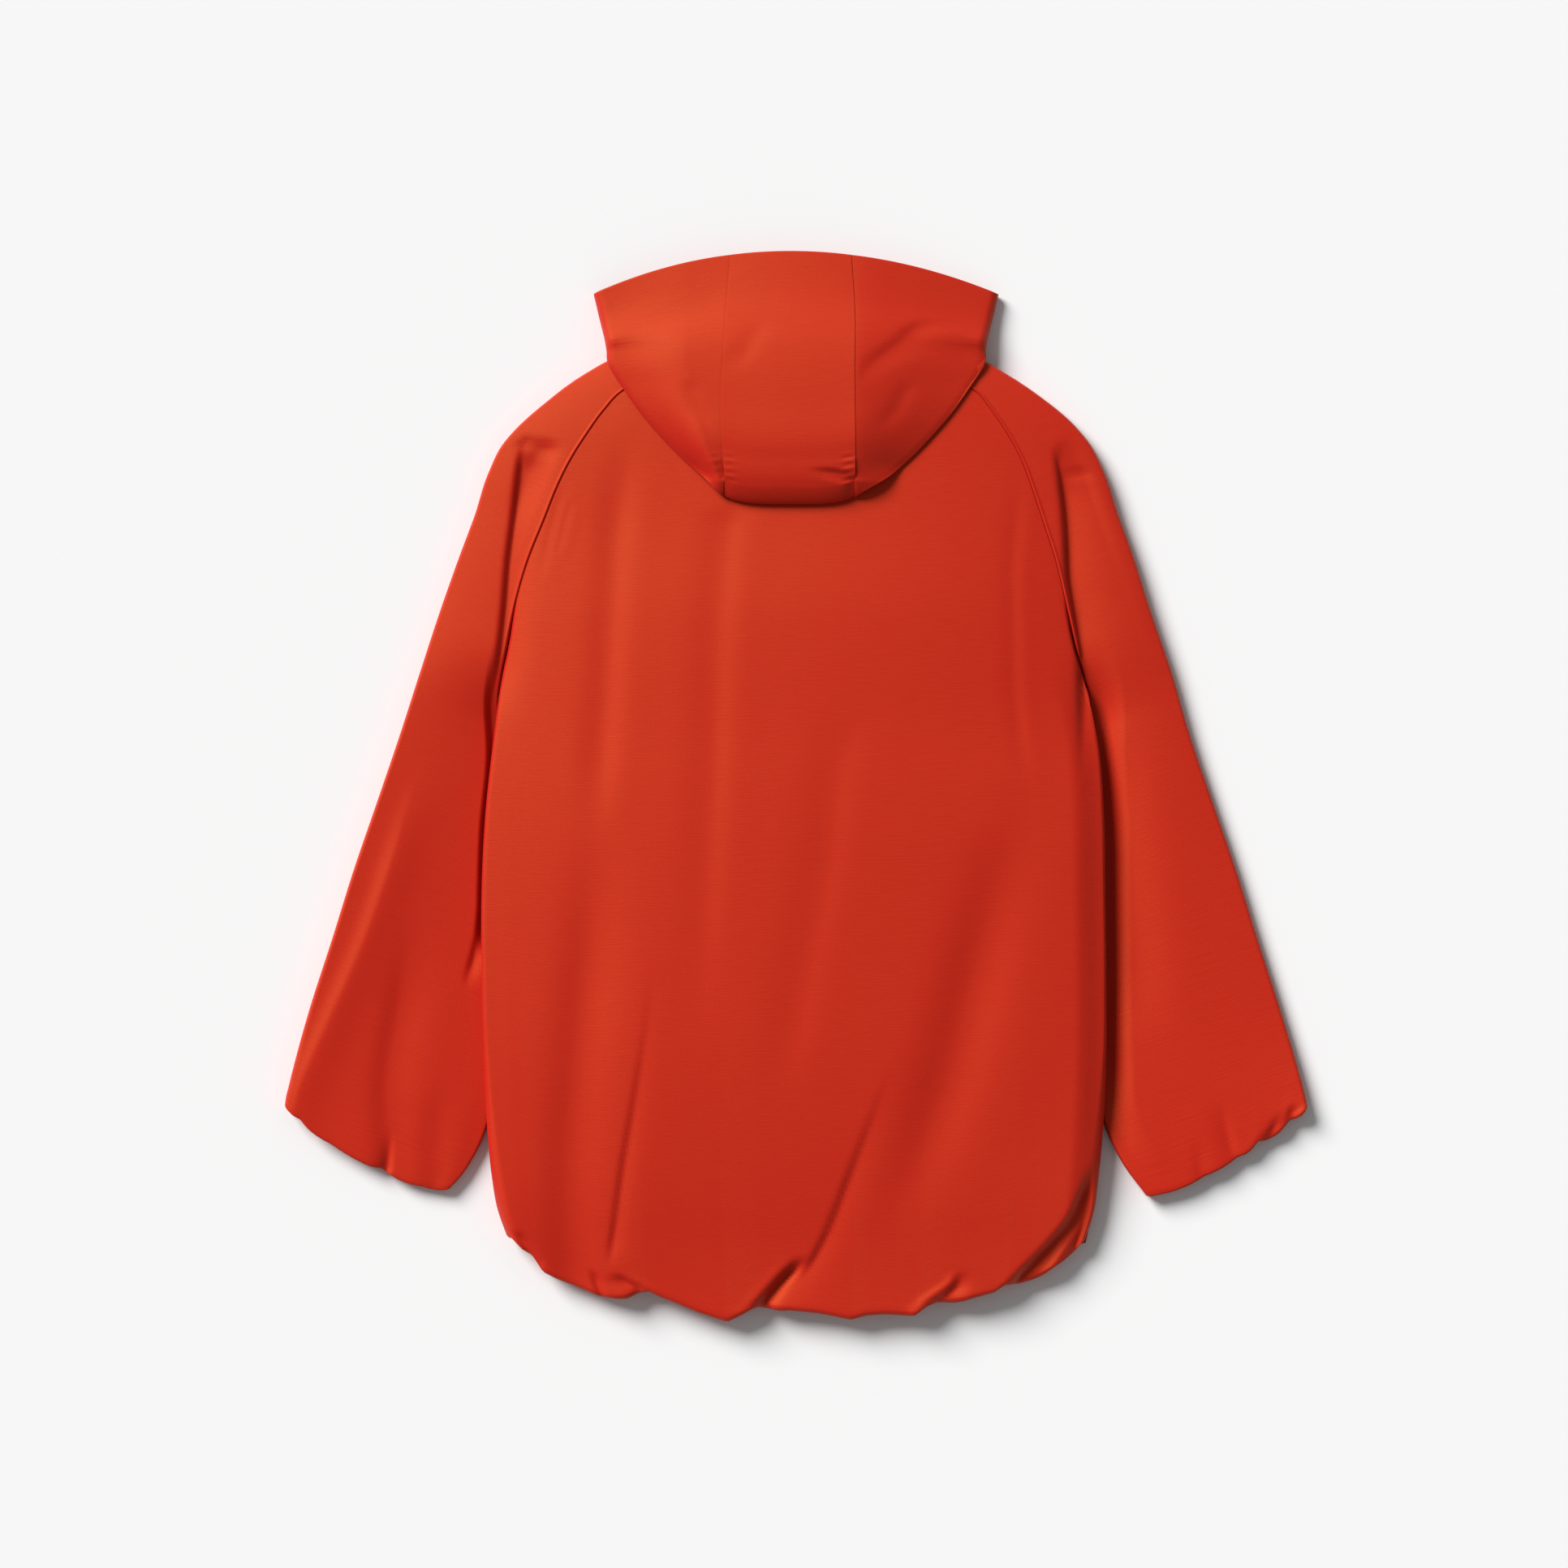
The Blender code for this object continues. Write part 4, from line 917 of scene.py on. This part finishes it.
def hoodSidePanel(side):
    # a side panel: over the top to the outer fold, half an ellipse round it, and back under on a parabola
    # through the middle point
    place = hoodPlaces[:, None]
    seamY, foldX, foldY, foldZ, thick, midX, midY, midZ, endX, endY, endZ = (
        hoodStation(name, place) for name in hoodSide)
    shift = hood["shift"] * ramp(place, *hood["shiftPlaces"])
    seamX = columnAt(strip, sides[side], seamY) + side * hood["seamGap"] / 2
    foldX = side * foldX + hood["shift"] * ramp(place, hood["lastPlace"] - 1, hood["lastPlace"])
    midX = side * midX + shift
    endX = side * endX + shift
    over = ramp(place, *hood["layPlaces"])
    across = foldX - seamX
    down = foldY - seamY
    width = np.hypot(across, down)
    half = np.minimum(hood["round"], 0.5 * width)
    flat, steps, underCount = hood["sideColumns"]
    share = np.linspace(0, 1, flat + 1)[:-1] ** hood["closer"]
    turn = np.linspace(np.pi / 2, 0, steps + 1)
    part = np.concatenate([(1 - half / width) * share, 1 - half / width * (1 - np.cos(turn))], axis=1)
    xTop = seamX + across * part
    yTop = seamY + down * part + hood["bow"] * 4 * part * (1 - part) * ramp(place, *hood["bowPlaces"])
    seamTop = columnAt(hoodTop, "z", seamY)
    low = foldZ * (1 - over) + over * cover(foldX, foldY)
    thick = thick * (1 - (1 - hood["edgeThin"]) * ramp(place, *hood["edgeThinPlaces"]))
    high = evenRows(low + thick, hood["evenReach"])
    high = high + (hood["leftLift"] * ramp(place, *hood["leftLiftPlaces"]) if side < 0 else 0)
    middle = (evenRows(low, hood["evenReach"]) + high) / 2
    even = hood["rightFall"]
    fall = ramp(part, *hood["leftFall"]) if side < 0 else even * part + (1 - even) * ramp(part, 0, 1)
    level = seamTop + (high - seamTop) * fall
    away = part * width
    level = level + hoodSeams(away, yTop, *hood["sideSeams"][side > 0])
    if side > 0:
        level = level - hood["seamStep"] * np.exp(-away / hood["stepReach"])
    level = level + foldHeight(xTop, yTop, hoodFolds) * ramp(part, 0, hood["foldShare"])
    rise = np.concatenate([np.ones(flat), np.sin(turn)])
    zTop = middle + (level - middle) * rise
    away, rolled = crownRoll(seamTop[-1:], low[-1:])
    upper = slice(0, int(np.argmin(away)) + 1)
    last = np.interp(yTop - hood["crownSeamY"], away[upper, 0][::-1], rolled[upper, 0][::-1])
    zTop = zTop + (last - zTop) * ramp(place, *hood["crownPlaces"])
    top = grid(xTop, yTop, zTop)
    t = np.linspace(0, 1, underCount)
    w0, w1, w2 = 2 * (t - 0.5) * (t - 1), 4 * t * (1 - t), 2 * t * (t - 0.5)
    start = hood["round"] / np.hypot(foldX - endX, foldY - endY)
    start = np.minimum(2 * start, hood["underHandle"])
    awayX = foldX + (midX - foldX) * start
    awayY = foldY + (midY - foldY) * start
    xLow = awayX * w0 + midX * w1 + endX * w2
    yLow = awayY * w0 + midY * w1 + endY * w2
    zLow = low * w0 + midZ * w1 + endZ * w2
    zLow = zLow * (1 - over) + over * cover(xLow, yLow)
    at, outer, inner = hood["clearPlaces"]
    zLow = zLow + hood["clear"] * ramp(np.abs(place - at), outer, inner)
    downTurn = turn[::-1][1:-1]
    bendX = foldX + (awayX - foldX) * (1 - np.cos(downTurn))
    bendY = foldY + (awayY - foldY) * (1 - np.cos(downTurn))
    bendZ = middle - (middle - zLow[:, :1]) * np.sin(downTurn)
    under = grid(xLow, yLow, np.maximum(zLow, 0))
    points = np.concatenate([top, grid(bendX, bendY, bendZ), under], axis=1)
    return points[:, ::-1] if side < 0 else points


# the elastic bands inside the hem and the cuffs
bands = {
    "hemWall": 1.2,
    "cuffWall": 1.1,
    "hemRows": (17, 22),
    "cuffRows": (15, 24),
    "hemStep": 0.15,
}


def bandRing(sheets, normals, radius, rows):
    # a flat band inside the gathers: the sheet's own rows, moved inwards
    rings = [insideRows(sheet, normal, radius, *rows)[::-1] for sheet, normal in zip(sheets, normals)]
    return np.concatenate(rings, axis=1)


zipper = {
    "top": 418.0,
    "bottom": -458.0,
    "tapeInner": 2.4,
    "tapeOuter": 14.0,
    "tapeZ": 3.1,
    "tapeWall": 0.6,
    "tapeRows": 240,
    "tapePlaces": (0, 0.06, 0.12, 0.2, 0.35, 0.5, 0.65, 0.8, 0.92, 1.0),
    "bead": (0.35, 0.07, 0.06),  # height, place and width of the tape's bead, in shares of its width
    "wave": (0.06, 9.0),  # height of its faint waves, and their length over 2 pi
    "coilPitch": 2.0,
    "coilReach": 1.5,
    "coilRise": 0.5,
    "coilWire": 0.28,
    "coilSides": 5,
    "coilX": 0.9,
    "coilEnd": 8,  # how far below the tape's top it begins
    "coilShort": 12,  # how much shorter than the tape it is
    "coilSteps": 9,  # points in each turn
    "coilZ": 1.95,
}


def zipTape(side):
    # one tape: flat across, with a rolled bead along its coil edge
    y = np.linspace(zipper["top"], zipper["bottom"], zipper["tapeRows"])[:, None]
    across = np.array(zipper["tapePlaces"])
    (high, at, wide), (waveHigh, waveLong) = zipper["bead"], zipper["wave"]
    x = zipper["tapeInner"] + (zipper["tapeOuter"] - zipper["tapeInner"]) * across
    bead = high * np.exp(-(((across - at) / wide) ** 2))
    wave = waveHigh * np.sin(y / waveLong + side)
    points = grid(side * x, y, zipper["tapeZ"] - bead + wave)
    return points[:, ::-1] if side < 0 else points


def coilPath(side):
    # a flattened helix: x = centre + reach cos t, z = level + rise sin t, y falls by one pitch a turn
    # the two sides lie half a pitch apart
    turns = (zipper["top"] - zipper["bottom"] - zipper["coilShort"]) / zipper["coilPitch"]
    t = np.arange(0, turns * 2 * np.pi, 2 * np.pi / zipper["coilSteps"])
    x = side * (zipper["coilX"] + zipper["coilReach"] * np.cos(t))
    y = zipper["top"] - zipper["coilEnd"] - zipper["coilPitch"] * (t / (2 * np.pi) + side / 4)
    return np.stack([x, y, zipper["coilZ"] + zipper["coilRise"] * np.sin(t)], axis=1)


def tube(path, radius, sides):
    # a round profile carried along a path: point + radius * (cos a * across + sin a * up)
    along = unit(np.gradient(path, axis=0))
    across = np.cross(along, (0.0, 0.0, 1.0))
    flat = np.linalg.norm(across, axis=1, keepdims=True)
    across = np.where(flat > 0.2, across / np.maximum(flat, 1e-6), np.cross(along, (0.0, 1.0, 0.0)))
    across = unit(across)
    up = np.cross(across, along)
    a = np.linspace(0, 2 * np.pi, sides, endpoint=False)[None, :, None]
    return path[:, None] + radius * (np.cos(a) * across[:, None] + np.sin(a) * up[:, None])


slider = {
    "length": 11.0,
    "width": 6.6,
    "low": 0.3,
    "high": 1.2,
    "middleY": 401.5,
    "steps": 48,
    "corner": 3,
    "rings": (0.0, 0.55, 0.86, 0.97, 1.0, 0.97, 0.86, 0.55, 0.0),
    "levels": (1.0, 1.0, 0.94, 0.75, 0.5, 0.25, 0.06, 0.0, 0.0),
    "waist": 0.24,
    "waistReach": (0.1, 0.95),
}


def sliderShell():
    # a plate with rounded rims: a superellipse, narrowed at its tail, closed over both faces
    ring, level = np.array([slider["rings"], slider["levels"]])[:, :, None]
    a = np.linspace(0, 2 * np.pi, slider["steps"], endpoint=False)
    c, s = np.cos(a), np.sin(a)
    power = slider["corner"]
    radius = (np.abs(c) ** power + np.abs(s) ** power) ** (-1 / power)
    waist = 1 - slider["waist"] * ramp(-s, *slider["waistReach"])
    x = slider["width"] / 2 * radius * c * waist
    y = slider["middleY"] + slider["length"] / 2 * radius * s
    z = slider["low"] + (slider["high"] - slider["low"]) * level
    return grid(ring * x, slider["middleY"] + ring * (y - slider["middleY"]), z)


pull = {
    "width": 4.8,
    "top": 395.2,
    "bottom": 361.6,
    "lowZ": 0.42,
    "highZ": 1.02,
    "wall": 0.3,
    "rows": 34,
    "columns": 9,
    "turnSteps": 8,
}


def pullLoop():
    # a narrow tape: straight down, half a circle round, and straight back up
    rows, low, high = pull["rows"], pull["lowZ"], pull["highZ"]
    middle, half = (low + high) / 2, (high - low) / 2
    down = np.linspace(pull["top"], pull["bottom"] + half, rows)
    turn = np.linspace(0, np.pi, pull["turnSteps"] + 1)[1:-1]
    y = np.concatenate([down, down[-1] - half * np.sin(turn), down[::-1]])
    z = np.concatenate([np.full(rows, low), middle - half * np.cos(turn), np.full(rows, high)])
    x = pull["width"] * (np.linspace(0, 1, pull["columns"]) - 0.5)
    return grid(x, y[:, None], z[:, None])


def placePiece(piece, node):
    # hides the node that a piece stands for, and puts the piece on its body, the root
    if node:
        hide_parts(node)
    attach(piece, "root")


def cloth(name, node, points, wall, material=canvas):
    # a sheet of cloth: its mesh with its finish, put in place of its node
    piece = addGrid(name, points, wall, material)
    placePiece(piece, node)


backSheet, backNormal = bodyBack()
leftSheet, leftNormal = bodyFront(-1)
rightSheet, rightNormal = bodyFront(1)
hemRadius, turned = body["hemRoll"], body["turnedRows"]
leftGrid = turnedIn(leftSheet, leftNormal, hemRadius, turned)
rightGrid = turnedIn(rightSheet, rightNormal, hemRadius, turned)
backGrid = turnedIn(backSheet, backNormal, hemRadius, turned)
cloth("clothFrontLeft", "front_left", leftGrid, body["wall"])
cloth("clothFrontRight", "front_right", rightGrid, body["wall"])
cloth("clothBack", "back", backGrid, body["wall"])
hemRing = bandRing((leftSheet, backSheet, rightSheet), (leftNormal, backNormal, rightNormal),
                   hemRadius + bands["hemStep"], bands["hemRows"])
cloth("hemElastic", "hem_band", hemRing, bands["hemWall"], elastic)
for side, word in sides.items():
    label = word.capitalize()
    sheet, normal = sleeve(side)
    tubeGrid = turnedIn(sheet, normal, sleeves["cuffRoll"], sleeves["turnedRows"], sleeves["turnSteps"])
    cloth("clothSleeve" + label, "sleeve_" + word, tubeGrid, sleeves["wall"])
    cuffRing = bandRing((sheet,), (normal,), sleeves["cuffRoll"], bands["cuffRows"])
    cloth("cuffElastic" + label, "cuff_band_" + word, cuffRing, bands["cuffWall"],
          elastic)
    cloth("clothHood" + label, "hood_" + word, hoodSidePanel(side), hood["wall"])
cloth("clothHoodCentre", "hood_centre", hoodStrip(), hood["wall"])
for side, word in sides.items():
    label = word.capitalize()
    node = "front_zip" if side < 0 else None
    cloth("zipTape" + label, node, zipTape(side), zipper["tapeWall"], tape)
    coilGrid = tube(coilPath(side), zipper["coilWire"], zipper["coilSides"])
    placePiece(addGrid("zipCoil" + label, coilGrid, 0, coil, closed=True), None)
placePiece(addGrid("sliderPlate", sliderShell()[:, ::-1], 0, nickel, closed=True), "zip_slider")
placePiece(addGrid("softPull", pullLoop(), pull["wall"], tape), "zip_pull")
print("elastic bands and zip made")


studio = {
    "floorColour": (0.865, 0.865, 0.865),
    "floorReach": 6.0,  # metres
    "floorZ": -0.0004,
    "floorRoughness": 0.9,
    "floorGloss": 0.1,
    "reach": 50,  # how far the camera sees, in metres
    "keyFrom": (-0.9, 0.88, 0.86),  # towards the key light
    "keyPower": 4.62,
    "keyColour": (1.012, 0.995, 0.993),
    "keyAngle": 30.0,  # degrees across: how soft its shadows are
    "fill": 0.25,
    "fillColour": (0.94, 1.0, 1.0),
    "lens": 150.0,
    "sensor": 36.0,
    "frameWidth": 1932 * 0.74,  # millimetres of jacket across the picture
    "look": (-11.1, 1.85, 20.0),  # what the middle of the picture shows, in millimetres
}


def makeFloor():
    # a level square just below the cloth
    mesh = bpy.data.meshes.new("floor")
    reach, z = studio["floorReach"], studio["floorZ"]
    corners = [(-reach, -reach, z), (reach, -reach, z), (reach, reach, z), (-reach, reach, z)]
    mesh.from_pydata(corners, [], [(0, 1, 2, 3)])
    material, shader = newMaterial("paleFloor")[::2]
    setInputs(shader, {
        "Base Color": (*studio["floorColour"], 1),
        "Roughness": studio["floorRoughness"],
        "Specular IOR Level": studio["floorGloss"],
    })
    mesh.materials.append(material)
    floor = addObject("floor", mesh)


def makeLights():
    # one broad light from the upper left and an even fill
    light = bpy.data.lights.new("key", "SUN")
    light.energy = studio["keyPower"]
    light.color = studio["keyColour"]
    light.angle = np.radians(studio["keyAngle"])
    key = addObject("key", light)
    key.rotation_euler = (-Vector(studio["keyFrom"])).to_track_quat("-Z", "Y").to_euler()
    world = bpy.data.worlds.new("studio")
    world.use_nodes = True
    background = world.node_tree.nodes["Background"]
    setInputs(background, {"Color": (*studio["fillColour"], 1), "Strength": studio["fill"]})
    bpy.context.scene.world = world
    bpy.context.scene.view_settings.view_transform = "Standard"


def makeCamera():
    # looks straight down from lens * picture width / sensor width above what it shows
    data = bpy.data.cameras.new("camera")
    data.lens = studio["lens"]
    data.sensor_width = studio["sensor"]
    away = studio["lens"] * studio["frameWidth"] / studio["sensor"]
    x, y, z = studio["look"]
    data.clip_end = studio["reach"]
    camera = addObject("camera", data)
    camera.location = (x * mm, y * mm, (z + away) * mm)
    bpy.context.scene.camera = camera


makeFloor()
makeLights()
makeCamera()
print("floor, light and camera made")
